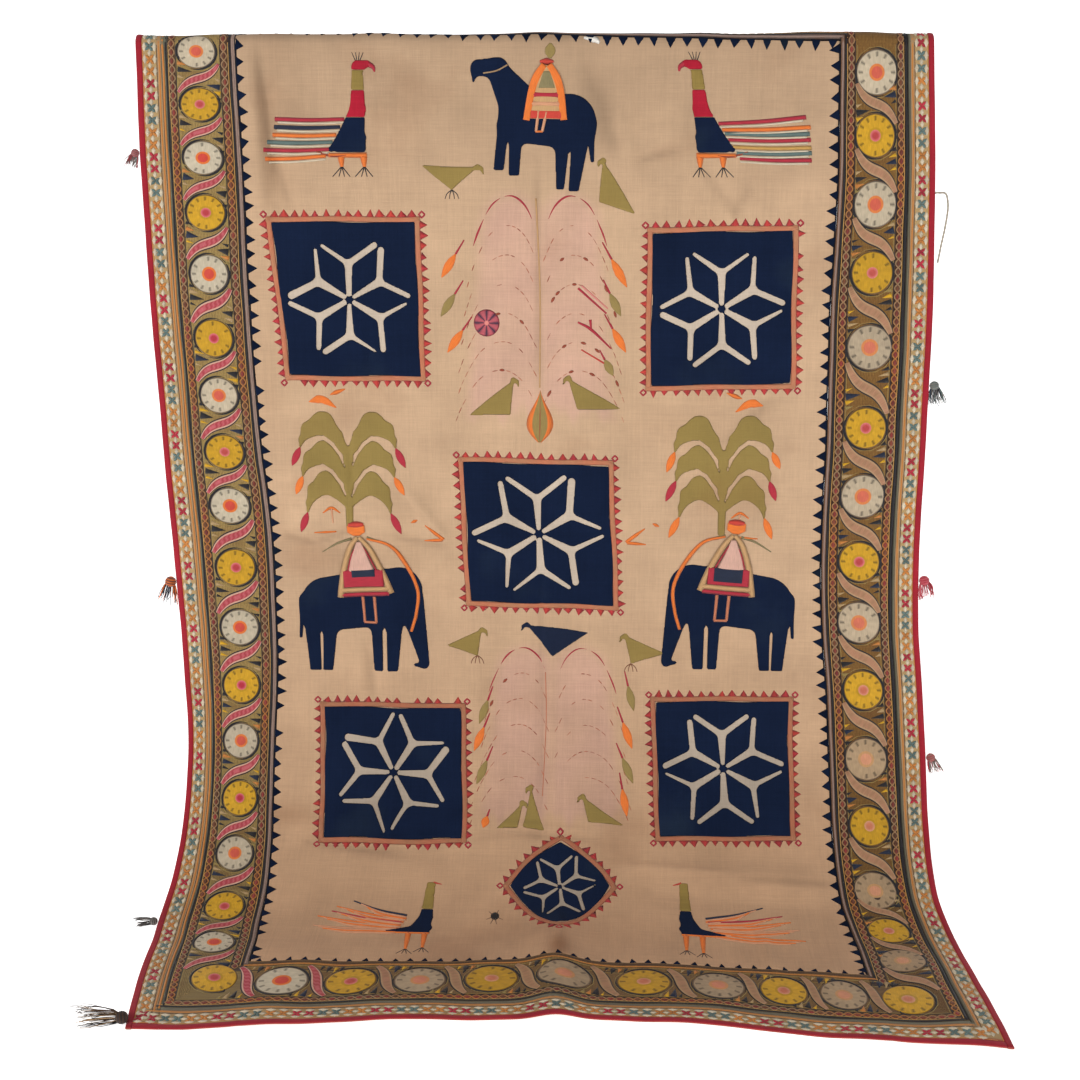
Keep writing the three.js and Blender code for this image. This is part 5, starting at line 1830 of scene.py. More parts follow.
@dataclass
class StarPatch:
    """A navy patch with a star cut through it, framed by a salmon strip with small red points."""

    size: StarSize
    seed: int
    step: float = 2.8
    points: int = 6
    tip_turn: float = 3.9
    stem_start: float = 0.1
    stems: Pair = (0.034, 0.046)
    waists: Pair = (0.062, 0.076)
    arms: tuple[float, ...] = (0.038, 0.05, 0.064)
    arm_tips: Pair = (0.45, 1.0)
    fork_blend: float = 4.0
    sway: float = 1.3
    frame_half: float = 4.1
    frame_stations: int = 26
    tooth_pitch: float = 17.4
    tooth_reach: float = 12.0
    tooth_half: float = 8.4

    def __post_init__(self) -> None:
        """Starts the source of wear."""
        self.random = np.random.default_rng(self.seed)

    def corners(self, grow: float) -> Array:
        """The patch's four corners, moved outward by a margin, clockwise from the upper left."""
        size = self.size
        angle = math.radians(size.turn)
        signs = np.array([[-1, 1], [1, 1], [1, -1], [-1, -1]], float)
        right, up = signs.T
        flat_x = right * (size.width + up * size.taper / 2.0) / 2.0 - up * size.slant / 2.0 + right * grow
        flat_y = up * (size.height / 2.0 + grow)
        turned_x = flat_x * math.cos(angle) - flat_y * math.sin(angle)
        turned_y = flat_x * math.sin(angle) + flat_y * math.cos(angle)
        return np.stack([size.x + turned_x, size.along - turned_y], axis=1)

    def forks(self) -> list[tuple[Stroke, ...]]:
        """The star's cuts: from each notch a stem toward the middle, and an arm that ends short of a tip."""
        size, random, cuts = self.size, self.random, []
        step = 360.0 / self.points
        for index in range(self.points):
            middle = size.star_turn + step * (index + 0.5)
            swing = step / 2.0 - self.tip_turn
            turn = np.radians([middle, middle - swing, middle + swing])
            reach = size.tip * random.uniform(0.97, 1.03, (2, 1))
            ends = ways(turn) * np.concatenate([[[size.notch]], reach])
            waist = size.tip * random.uniform(*self.waists)
            stem = ends[0] * (self.stem_start * size.tip / size.notch)
            fork = [Stroke(*stem, size.tip * random.uniform(*self.stems), *ends[0], waist)]
            for end in ends[1:]:
                broad = size.tip * random.choice(self.arms)
                tip = broad * random.uniform(*self.arm_tips)
                fork.append(Stroke(*ends[0], 0.4 * (waist + broad), *end, tip))
            cuts.append(tuple(fork))
        return cuts

    def cloth(self) -> Piece:
        """The navy cloth: inside the uneven square and outside the cuts."""
        size, cuts, square = self.size, self.forks(), self.corners(0.0)

        def distance(x: Array, along: Array) -> Array:
            """The square less the star's cuts."""
            apart = [stroke_distance(x - size.x, size.along - along, fork, self.fork_blend) for fork in cuts]
            patch = corner_distance(x, along, square, self.sway, size.bulge)
            return np.maximum(patch, -np.min(apart, axis=0))

        corners = self.corners(4.0 + size.bulge)
        low, high = corners.min(axis=0), corners.max(axis=0)
        work = Piecework()
        box = (low[0], high[0], low[1], high[1])
        work.patch(distance, box, self.step, Dye.NAVY.rgb, PATCH_LOW, PATCH_TOP)
        return work.build(f"{size.name}_cloth", "navy_cotton", NAVY_COTTON, [size.name])

    def shade(self) -> float:
        """Brightness of the strip and its points: 0.92 times their dye, and darker toward the foot of the
        hanging as painted shade.
        """
        return 0.92 - 0.2 * float(smooth_step(700.0, 1300.0, np.array(self.size.along)))

    def frame(self) -> Piece:
        """A folded strip on each side, lapped at the corners, with worn red points outside it."""
        work = Piecework()
        corners = self.corners(self.frame_half)
        following = np.roll(corners, -1, axis=0)
        station = np.arange(self.frame_stations)
        share = np.linspace(0.0, 1.0, len(station))[:, None]
        way = unit(following - corners)
        start, end = corners - way * self.frame_half, following + way * self.frame_half
        out = np.stack([way[:, 1], -way[:, 0]], axis=1)
        centre = start[:, None] * (1.0 - share) + end[:, None] * share
        bow = self.size.bulge * bowed(share)
        centre = centre + out[:, None] * (bow + 0.8 * np.sin(share * 9.0 + corners[:, None, :1]))
        fold = mixed(Dye.SALMON, Dye.TAN, 0.2 + 0.2 * np.sin(station * 0.8))
        edge = mixed(Dye.RUST, Dye.SALMON, 0.4 + 0.3 * np.sin(station * 1.3))
        tint = self.shade() * np.stack([edge, fold, fold, edge], axis=1)[None]
        work.ribbons(centre, self.frame_half + 0.6, tint, FIELD_TOP, 1.1, profile=FLAT_PROFILE)
        for here, end_corner in zip(corners, following):
            self.teeth(work, here, end_corner)
        return work.build(f"{self.size.name}_frame", "binding_cloth", LAID)

    def teeth(self, work: Piecework, here: Array, following: Array) -> None:
        """Small worn points outside one side of the frame, and an open square at its first corner.

        Args:
            work: What they are added to.
            here: The side's first corner.
            following: Its other corner.
        """
        random, way = self.random, unit(following - here)
        out = np.array([way[1], -way[0]])
        length = np.linalg.norm(following - here)
        count = round(length / self.tooth_pitch)
        kept = np.arange(count)[random.random(count) > 0.03]
        middle = length * (kept + 0.5) / count + random.normal(0.0, 0.8, len(kept))
        share = np.linspace(0.0, 1.0, 4)
        bow = self.size.bulge * bowed(middle / length)[:, None]
        reach = bow + self.tooth_reach * random.uniform(0.75, 1.08, (len(kept), 1)) * share
        spots = here + way * middle[:, None, None] + out * (self.frame_half - 0.6 + reach)[..., None]
        spots = spots + way * (random.normal(0.0, 1.0, (len(kept), 1)) * share)[..., None]
        half = self.tooth_half * (1.0 - share) * random.uniform(0.72, 1.08, (len(kept), 1)) + 0.3
        tint = mixed(Dye.CRIMSON, Dye.SCARLET, 0.3 + 0.6 * random.random(len(kept)))
        tint = self.shade() * tint * random.uniform(0.85, 1.15, (len(kept), 1))
        work.ribbons(spots, half, tint[:, None, None], FIELD_TOP, 0.7)
        corner = here - (way - out) * (self.frame_half + 3.2)
        square = np.array([[1, 0], [0, 1], [-1, 0], [0, -1], [1, 0]], float) * 5.0
        at = np.linspace(0, 4, 13)
        loop = np.stack([np.interp(at, np.arange(5), line) for line in square.T], axis=1)
        work.ribbons((corner + loop)[None], 1.4, Dye.CRIMSON.rgb, FIELD_TOP + 0.1, 0.8)

    def build(self) -> list[Piece]:
        """Builds the cloth and its frame."""
        return [self.cloth(), self.frame()]


@dataclass(frozen=True)
class Figure:
    """A figure's place, and the flat ground it is drawn on: x to its front and y up from its middle."""

    name: str
    x: float
    along: float
    facing: float
    size: float
    lean: float = 0.0

    @property
    def turned(self) -> bool:
        """Whether the figure's own directions make a left-handed pair on the cloth."""
        return self.facing > 0

    def lay(self, first: Array, second: Array) -> tuple[Array, Array]:
        """Turns the figure's own places into distances across and along."""
        across = self.facing * self.size * (first + self.lean * second)
        return self.x + across, self.along - self.size * second


Strokes = tuple[Stroke, ...]


@dataclass(frozen=True)
class Shape:
    """A figure's outline: main strokes, limbs with their feet, gaps, and how softly they all join."""

    main: Strokes
    limbs: tuple[Strokes, ...] = ()
    blend: float = 6.0
    join: float = 2.0
    feet: tuple[float, ...] = ()
    gaps: Strokes = ()

    def distance(self, x: Array, y: Array) -> Array:
        """Signed distance: the main strokes joined to each limb, cut level at its foot, less the gaps."""
        total = body = stroke_distance(x, y, self.main, self.blend)
        for group, foot in zip_longest(self.limbs, self.feet, fillvalue=-1e3):
            limb = np.maximum(stroke_distance(x, y, group, self.blend), foot - y)
            total = np.minimum(total, soft_union(body, limb, self.join))
        return np.maximum(total, -stroke_distance(x, y, self.gaps, 1.0)) if self.gaps else total

    def reach(self) -> tuple[Array, Array]:
        """The lowest and highest places of all strokes."""
        table = np.array([*self.main, *(stroke for group in self.limbs for stroke in group)])
        ends = np.concatenate([table[:, :3], table[:, 3:]])
        return (ends[:, :2] - ends[:, 2:]).min(axis=0) - 4.0, (ends[:, :2] + ends[:, 2:]).max(axis=0) + 4.0


def limbs(*rows: Sequence[float]) -> tuple[Strokes, ...]:
    """Limbs of one stroke each."""
    return tuple(table(Stroke, row) for row in rows)


ELEPHANT = Shape(
    table(
        Stroke,
        (-54, 24, 47, 38, 38, 50), (44, 40, 48, 66, 50, 40), (86, 30, 22, 108, -76, 8),
        (108, -82, 5, 92, -80, 2.5),
    ),
    limbs(
        (58, -6, 13.5, 54, -100, 8.4), (28, -6, 10, 31, -100, 7.6), (-84, -6, 13, -77.5, -100, 9.2),
        (-52, -6, 13, -57.5, -100, 7.8), (-98, 32, 4.5, -103, -34, 2.5),
    ),
    join=12.0,
    feet=(-91, -91, -92, -92),
)
HORSE = Shape(
    table(
        Stroke,
        (36, 14, 38, -42, 10, 43), (41, 38, 33, 75, 90, 17), (75, 93, 16, 106, 94, 12.5),
        (112, 86, 4.5, 114, 73, 2),
    ),
    limbs(
        (66, 0, 9, 75, -78, 8.2), (45, 0, 11, 49, -86, 8.2), (-60, -20, 14, -48.5, -110, 7.5),
        (-31, -20, 12, -27, -110, 5.5), (-76, 4, 7, -80, -52, 3),
    ),
    blend=8.0,
    join=12.0,
    feet=(-67.5, -76, -101, -98),
)
PEACOCK = table(Stroke, (-8, -24, 24, 6, 30, 12), (6, 30, 12, 7, 92, 8), (8, 94, 9.5, 22, 98, 5.5))
UPPER_PEACOCK = Shape(
    PEACOCK + table(Stroke, (-6, -12, 18, -38, -31, 4), (4, -18, 16, 8, -28, 10)),
    blend=4.0,
)
LOWER_PEACOCK = Shape(
    PEACOCK[:2] + table(Stroke, (7, 90, 8, 8, 108, 8), (-6, -6, 14, -62, -12, 3), (0, -2, 16, 12, 2, 8)),
    blend=4.0,
)
LEAF_TIERS = ((24.0, 61.0, 9.0, 72.0), (62.0, 113.0, 72.0, 79.0), (112.0, 163.0, 122.0, 82.0))


def palm_leaf(root: float, crown: float, tip: float, reach: float, side: float) -> Strokes:
    """One drooping leaf: strokes that rise from the root to the crown, bend over and fall to the tip.

    Args:
        root: Height of its root.
        crown: Height of its crown.
        tip: Height of its tip.
        reach: How far out the tip is.
        side: -1 or 1.

    Returns:
        The leaf's strokes.
    """
    rise, fall = crown - root, tip - crown
    stations = (
        (0.04, root, 6.0),
        (0.26, root + 0.58 * rise, 12.5),
        (0.52, crown, 20.0),
        (0.8, crown + 0.26 * fall, 13.5),
        (0.96, crown + 0.68 * fall, 5.0),
        (1.0, tip, 1.4),
    )
    spots = [(side * reach * out, height, radius) for out, height, radius in stations]
    return tuple(Stroke(*here, *following) for here, following in zip(spots[:-1], spots[1:]))


GAP_LINES = (
    ((44, 90, 3.4), (28, 80, 3.2), (14, 60, 2.6), (5, 38, 1.4)),
    ((42, 139, 3.4), (27, 128, 3.0), (14, 110, 2.4), (7, 90, 1.2)),
)


def palm_gaps(side: float) -> Strokes:
    """Slits between the leaves of one side: each falls from under a crown toward the stem and narrows."""
    lines = [[(side * out, height, radius) for out, height, radius in line] for line in GAP_LINES]
    return tuple(Stroke(*here, *following) for line in lines for here, following in zip(line[:-1], line[1:]))


PALM = Shape(
    (Stroke(0, -18, 6, 0, 116, 9),),
    tuple(palm_leaf(*tier, side) for tier in LEAF_TIERS for side in (-1.0, 1.0)),
    blend=4.0,
    gaps=tuple(cut for side in (-1.0, 1.0) for cut in palm_gaps(side)),
)
SCRAPS = table(
    Pass,
    (((-64, 200), (-42, 204), (-18, 190)), (0.8, 7, 6, 0.8), Dye.ORANGE),
    (((-28, 212), (-2, 222)), (0.8, 4, 3.4, 0.8), Dye.ORANGE),
    (((-46, 8), (-31, 17), (-16, 8)), (1, 3, 1), Dye.ORANGE),
    (((-31, 16), (-29, -10)), (2, 1.2), Dye.PEACH), (((-62, -27), (-24, -25)), (1, 2, 1.4), Dye.ORANGE),
    (((130, -12), (162, -36)), (1, 3.4, 3), Dye.ORANGE), (((128, -40), (160, -37)), (1, 3, 3), Dye.ORANGE),
    (((106, -8), (117, -3)), (1, 3.2, 1), Dye.ORANGE),
)
TRUNK_CLOTH = ((14, 139), (51, 128), (81, 91), (98, 50), (95, 11), (86, -22))
SEAT = table(
    Pass,
    (((0, 133), (1, 104), (4, 76)), (4, 15, 25), Dye.PINK, 0.9),
    (((-27, 68), (41, 72)), (15, 15), Dye.CRIMSON, 1), (((-13, 77), (27, 80)), (6.6, 6.6), Dye.NAVY, 1.5),
    (((-2, 130), (-13, 108), (-20, 80)), (1.2, 1.4), Dye.CRIMSON, 0.7),
    (((3, 130), (17, 108), (31, 82)), (1.2, 1.4), Dye.CRIMSON, 0.7),
    (((-30, 40), (50, 46)), (4.2, 4.2), Dye.CRIMSON, 0.1),
    (((-2, 141), (-15, 122), (-26, 84), (-33, 36)), (4, 5, 5.4, 5.4), Dye.WHEAT, 0.5),
    (((1, 141), (17, 122), (37, 86), (54, 46)), (4, 5, 5.4, 5.4), Dye.WHEAT, 0.5),
    (((-31, 48), (51, 54)), (5, 5), Dye.WHEAT, 0.6), (((5, 38), (8, -6)), (2.8, 2.4), Dye.SALMON, 0.1),
    (((25, 39), (28, -6)), (2.8, 2.4), Dye.SALMON, 0.1), (((7, -6), (29, -6)), (2.4, 2.4), Dye.SALMON, 0.1),
    (TRUNK_CLOTH, (1.8, 3.4, 3, 2.6), Dye.ORANGE, 0.1),
    (((-12, 138), (-36, 130), (-62, 114)), (2.4, 1.8, 1), Dye.DRAB, -1.1),
    (((14, 141), (44, 132)), (2.4, 1.6), Dye.DRAB, -1.1),
    (((-19, 154), (11, 156)), (6, 12, 12, 6), Dye.ORANGE, -0.6),
    (((-17, 161), (9, 163)), (3, 6, 6, 3), Dye.SCARLET, 0.1),
)
RIGHT_SEAT = (*SEAT[:2], Pass(((-16, 71), (31, 74)), (12.4, 12.4), Dye.NAVY, 1.5), *SEAT[3:])
ROBE = table(
    Pass,
    (((-5, 97), (-4, 74), (-4, 56), (-3, 14)), (8, 20, 25, 29), Dye.WHEAT, 0.2),
    (((-5, 88), (-5, 62)), (6, 15), Dye.DRAB, 0.7), (((-26, 51), (17, 52)), (6, 6), Dye.CRIMSON, 0.7),
    (((-27, 37), (19, 38)), (5.5, 5.5), Dye.PEACH, 0.7),
    (((-29, 20), (21, 21)), (6.5, 6.5), Dye.SCARLET, 0.7),
    (((-9, 98), (-21, 78), (-28, 54), (-33, 12)), (5, 6.5, 6, 5.5), Dye.ORANGE, 0.8),
    (((-1, 98), (12, 78), (20, 54), (28, 12)), (5, 6.5, 6, 5.5), Dye.ORANGE, 0.8),
    (((8, 27), (12, -6)), (2.6, 2.4), Dye.PEACH, 1.1), (((-5, 25), (2, -6)), (2.6, 2.4), Dye.PEACH, 1.1),
    (((1, -6), (13, -6)), (1.8, 1.8), Dye.ORANGE, 1.1),
    (((-16, 103), (6, 103)), (2, 6, 2), Dye.SCARLET, -0.6),
    (((-10, 108), (-11, 131)), (2, 8.5, 8.5, 2), Dye.OLIVE, -1.1),
    (((58, 98), (76, 89), (98, 85)), (1.3, 1.3), Dye.TAN, 0.1),
)


DyedPair = tuple[float, float, Dye]
ALL_NAVY = ((-1e3, 1e3, Dye.NAVY),)
UPPER_ZONES = (
    (-35.5, 17.6, Dye.NAVY),
    (18.2, 58.6, Dye.CRIMSON),
    (59.2, 88.6, Dye.OLIVE),
    (89.2, 200.0, Dye.CRIMSON),
)
LOWER_ZONES = ((-14.0, 49.4, Dye.NAVY), (50.0, 112.0, Dye.OLIVE))
ALL_OLIVE = ((-1e3, 1e3, Dye.OLIVE),)
LEAF_BUD = (0.8, 5.4, 6.4, 5.0, 0.6)
TOES = (-14, -4, 5, 14)
UPPER_TAILS = (
    (
        (15, 15, 126, Dye.CRIMSON), (3, 3, 128, Dye.NAVY), (-9, -9, 131, Dye.ORANGE),
        (-20, -20, 140, Dye.SLATE), (-31, -32, 145, Dye.CRIMSON), (-41, -46, 143, Dye.ORANGE),
    ),
    (
        (8, 18, 156, Dye.CRIMSON), (-1, 3, 162, Dye.ORANGE), (-7, -7, 160, Dye.SLATE),
        (-16, -16, 161, Dye.CRIMSON), (-27, -28, 161, Dye.GOLD), (-36, -36, 161, Dye.SLATE),
        (-44, -47, 160, Dye.CRIMSON),
    ),
)
LOWER_TAILS = (
    (
        (134, 66, Dye.NAVY), (164, 52, Dye.ORANGE), (172, 40, Dye.CRIMSON),
        (196, 26, Dye.ORANGE), (200, 0, Dye.PEACH),
    ),
    (
        (138, 64, Dye.NAVY), (172, 42, Dye.CRIMSON), (186, 26, Dye.ORANGE),
        (200, 6, Dye.PEACH), (208, -24, Dye.ORANGE),
    ),
)
WISPS = ((4.5, Dye.PEACH), (8.5, Dye.ORANGE), (12.5, Dye.PEACH))
PALM_SEED = 60


@dataclass
class Menagerie:
    """The sewn-on animals and palms, with their riders, seats, tails and buds in thread."""

    step: float = 2.8
    elephants: tuple[Figure, ...] = table(
        Figure, ("elephant_left", -286, 950, 1, 1), ("elephant_right", 339, 940, -1, 1)
    )
    horse: Figure = Figure("horse", 22, 148, -1, 0.96)
    peacocks: tuple[Figure, ...] = table(
        Figure,
        ("peacock_upper_left", -276, 150, 1, 1), ("peacock_upper_right", 276, 150, -1, 1, 0.12),
        ("peacock_lower_left", -158, 1502, 1, 0.86), ("peacock_lower_right", 267, 1494, -1, 0.86),
    )
    palms: tuple[Figure, ...] = table(
        Figure, ("palm_left", -300, 776, 1, 0.97), ("palm_right", 318, 778, -1, 0.97)
    )

    def cut(self, work: Piecework, figure: Figure, shape: Shape, band: DyedPair) -> None:
        """Lays the part of a figure's cloth that lies between two heights.

        Args:
            work: What it is added to.
            figure: Its place.
            shape: Its outline.
            band: Lowest and highest y that are kept, and the dye.
        """
        low, high, dye = band

        def distance(x: Array, along: Array) -> Array:
            """The outline, kept between the two heights."""
            flat_y = (figure.along - along) / figure.size
            flat_x = (x - figure.x) / (figure.facing * figure.size) - figure.lean * flat_y
            outside = np.maximum(low - flat_y, flat_y - high)
            return np.maximum(shape.distance(flat_x, flat_y), outside) * figure.size

        start, end = shape.reach()
        room = abs(figure.lean) * max(-start[1], end[1])
        sides = sorted(figure.x + figure.facing * figure.size * np.array([start[0] - room, end[0] + room]))
        heights = figure.along - figure.size * np.array([min(end[1], high + 2.0), max(start[1], low - 2.0)])
        work.patch(distance, (*sides, *heights), self.step, dye.rgb, PATCH_LOW, PATCH_TOP)

    def sew(
        self,
        figure: Figure,
        shape: Shape,
        zones: Sequence[DyedPair],
        name: str,
        passes: Sequence[Pass],
        base: float = FIELD_TOP,
    ) -> list[Piece]:
        """Builds a figure's cloth, pieced from bands, and what is worked on it in thread.

        Args:
            figure: Its place.
            shape: Its outline.
            zones: Lowest and highest y of each band of cloth, and its dye.
            name: What is worked in thread.
            passes: The passes of that.
            base: Height of their edges out of the middle of the field.

        Returns:
            The cloth and the threadwork.
        """
        cloth, thread = Piecework(), Piecework()
        for band in zones:
            self.cut(cloth, figure, shape, band)
        lay_passes(thread, passes, base, figure)
        slot, finish = ("olive_cotton", OLIVE_COTTON) if shape is PALM else ("navy_cotton", NAVY_COTTON)
        return [
            cloth.build(f"{figure.name}_cloth", slot, finish, [figure.name]),
            thread.build(f"{figure.name}_{name}", "binding_cloth", LAID),
        ]

    def legs(self, places: Sequence[Triple]) -> list[Pass]:
        """Orange legs, each given as its x, top and foot, with four thin toes."""
        passes = [Pass(((x, high), (x + 1, low)), (6.0, 4.6, 2.6), Dye.ORANGE) for x, high, low in places]
        for x, _, low in places:
            passes += [Pass(((x + 1, low + 1), (x + toe, low - 15)), (1.0, 0.7), Dye.INK) for toe in TOES]
        return passes

    def upper_peacock(
        self, figure: Figure, rows: Sequence[tuple[float, float, float, Dye]]
    ) -> list[Piece]:
        """A standing peacock with a banded neck and a level striped tail.

        Args:
            figure: Its place.
            rows: Tail stripes: y at the body, y at the tip, reach behind, and dye.

        Returns:
            Its cloth and its stitching.
        """
        passes = []
        for start, end, reach, dye in rows:
            root = -14.0 - 0.55 * (18.0 - start)
            bend = ((root - reach) / 2.0, (start + end) / 2.0 - 1.5)
            pale = ((root, start - 5.4), (bend[0], bend[1] - 5.4), (5.0 - reach, end - 5.0))
            passes.append(Pass(pale, (1.6, 2.2), Dye.CREAM, -0.1))
            passes.append(Pass(((root, start), bend, (-reach, end)), (3.0, 3.6), dye))
        passes.append(Pass(((-42, -40), (19, -40)), (3.4, 4.4), Dye.ORANGE))
        passes.append(Pass(((-62, -34), (-38, -41), (-14, -40)), (1.6, 2.2), Dye.RUST, 0.1))
        passes += self.legs(((-22.0, -42.0, -58.0), (14.0, -42.0, -58.0)))
        passes.append(Pass(((24, 98), (32, 93), (34, 86)), (4.6, 3.4, 1.2), Dye.CRIMSON, 0.2))
        for way in (-9, -3, 3, 9):
            passes.append(Pass(((8 + way * 0.3, 101), (8 + way, 115)), (0.9, 0.5), Dye.INK))
        return self.sew(figure, UPPER_PEACOCK, UPPER_ZONES, "tail", passes)

    def lower_peacock(self, figure: Figure, strands: Sequence[DyedPair]) -> list[Piece]:
        """A smaller peacock with an olive neck, orange legs and a loose tail of strands.

        Args:
            figure: Its place.
            strands: Reach behind, y at the tip, and dye of each strand of the tail.

        Returns:
            Its cloth and its stitching.
        """
        passes = []
        for order, (reach, height, dye) in enumerate(strands):
            root = (-30.0 - 4.0 * order, 32.0 - 9.0 * order)
            bend = ((root[0] - reach) / 2.0, (root[1] + height) / 2.0 - 5.0)
            passes.append(Pass((root, bend, (-reach, height)), (3.0, 2.6, 1.6), dye))
            for drop, wisp_dye in WISPS:
                tip = (2.2 * drop - reach, height - 0.9 * drop)
                wisp = ((root[0], root[1] - drop), (bend[0], bend[1] - drop), tip)
                passes.append(Pass(wisp, (2.6, 4.4, 1.6), wisp_dye, -0.1))
        passes.append(Pass(((-66, -14), (16, -13)), (2.4, 3.0), Dye.ORANGE))
        passes += self.legs(((-22.0, -14.0, -66.0), (8.0, -14.0, -60.0)))
        passes.append(Pass(((12, 112), (28, 108)), (2.2, 0.8), Dye.SCARLET))
        return self.sew(figure, LOWER_PEACOCK, LOWER_ZONES, "tail", passes)

    def palm(self, figure: Figure, seed: int) -> list[Piece]:
        """An olive palm of three tiers, with a bud at the tip of each leaf and worn scraps around it.

        Args:
            figure: Its place.
            seed: Start of its random wear.

        Returns:
            Its cloth and its buds.
        """
        random = np.random.default_rng(seed)
        passes = []
        dyes = (Dye.CRIMSON, Dye.ORANGE) if figure.facing > 0 else (Dye.ORANGE, Dye.CRIMSON)
        for (_, _, tip, reach), dye in zip(LEAF_TIERS, (*dyes, dyes[0])):
            for side in (-1.0, 1.0):
                end = (side * (reach + 15 + random.normal(0.0, 2.0)), tip - 34 + random.normal(0.0, 2.0))
                passes.append(Pass(((side * reach, tip), end), LEAF_BUD, dye, 0.2))
        return self.sew(figure, PALM, ALL_OLIVE, "buds", [*passes, *SCRAPS])

    def build(self) -> list[Piece]:
        """Builds every figure with its stitching."""
        made = []
        for figure, seat in zip(self.elephants, (SEAT, RIGHT_SEAT)):
            made += self.sew(figure, ELEPHANT, ALL_NAVY, "seat", seat, SEWN_TOP)
        made += self.sew(self.horse, HORSE, ALL_NAVY, "rider", ROBE, SEWN_TOP)
        for figure, rows in zip(self.peacocks[:2], UPPER_TAILS):
            made += self.upper_peacock(figure, rows)
        for figure, strands in zip(self.peacocks[2:], LOWER_TAILS):
            made += self.lower_peacock(figure, strands)
        for order, figure in enumerate(self.palms):
            made += self.palm(figure, PALM_SEED + order)
        return made


class Bud(NamedTuple):
    """A bud of a tree: where it hangs from, its tip, and its dye."""

    x: float
    along: float
    tip_x: float
    tip_along: float
    dye: Dye


class SmallBird(NamedTuple):
    """A small bird: its tail tip, head and lowest point, and its dye."""

    tail: Pair
    head: Pair
    low: Pair
    dye: Dye


BUDS = table(
    Bud,
    (-118, 343, -141, 380, Dye.ORANGE), (-120, 406, -143, 442, Dye.OLIVE),
    (-108, 464, -133, 500, Dye.ORANGE), (131, 350, 156, 394, Dye.ORANGE), (129, 404, 147, 440, Dye.OLIVE),
    (134, 460, 156, 498, Dye.ORANGE), (122, 510, 136, 536, Dye.OLIVE), (-70, 1090, -84, 1130, Dye.OLIVE),
    (-76, 1136, -92, 1176, Dye.ORANGE), (-70, 1192, -86, 1232, Dye.OLIVE),
    (168, 1062, 178, 1104, Dye.OLIVE), (160, 1124, 176, 1168, Dye.ORANGE),
    (160, 1184, 178, 1226, Dye.OLIVE), (160, 1236, 168, 1282, Dye.ORANGE),
    (-66, 1286, -72, 1306, Dye.ORANGE),
)
BIRDS = table(
    SmallBird,
    ((-170, 205), (-82, 208), (-123, 244), Dye.OLIVE), ((168, 279), (116, 198), (110, 262), Dye.OLIVE),
    ((-98, 601), (-26, 544), (-30, 602), Dye.OLIVE), ((148, 590), (64, 540), (78, 592), Dye.OLIVE),
    ((-143, 996), (-80, 968), (-88, 1014), Dye.OLIVE), ((232, 1004), (162, 975), (172, 1024), Dye.OLIVE),
    ((-50, 1306), (-8, 1262), (-14, 1304), Dye.OLIVE), ((30, 1308), (6, 1236), (-6, 1304), Dye.OLIVE),
    ((163, 1298), (94, 1250), (104, 1294), Dye.OLIVE), ((102, 970), (-4, 958), (38, 1012), Dye.NAVY),
)


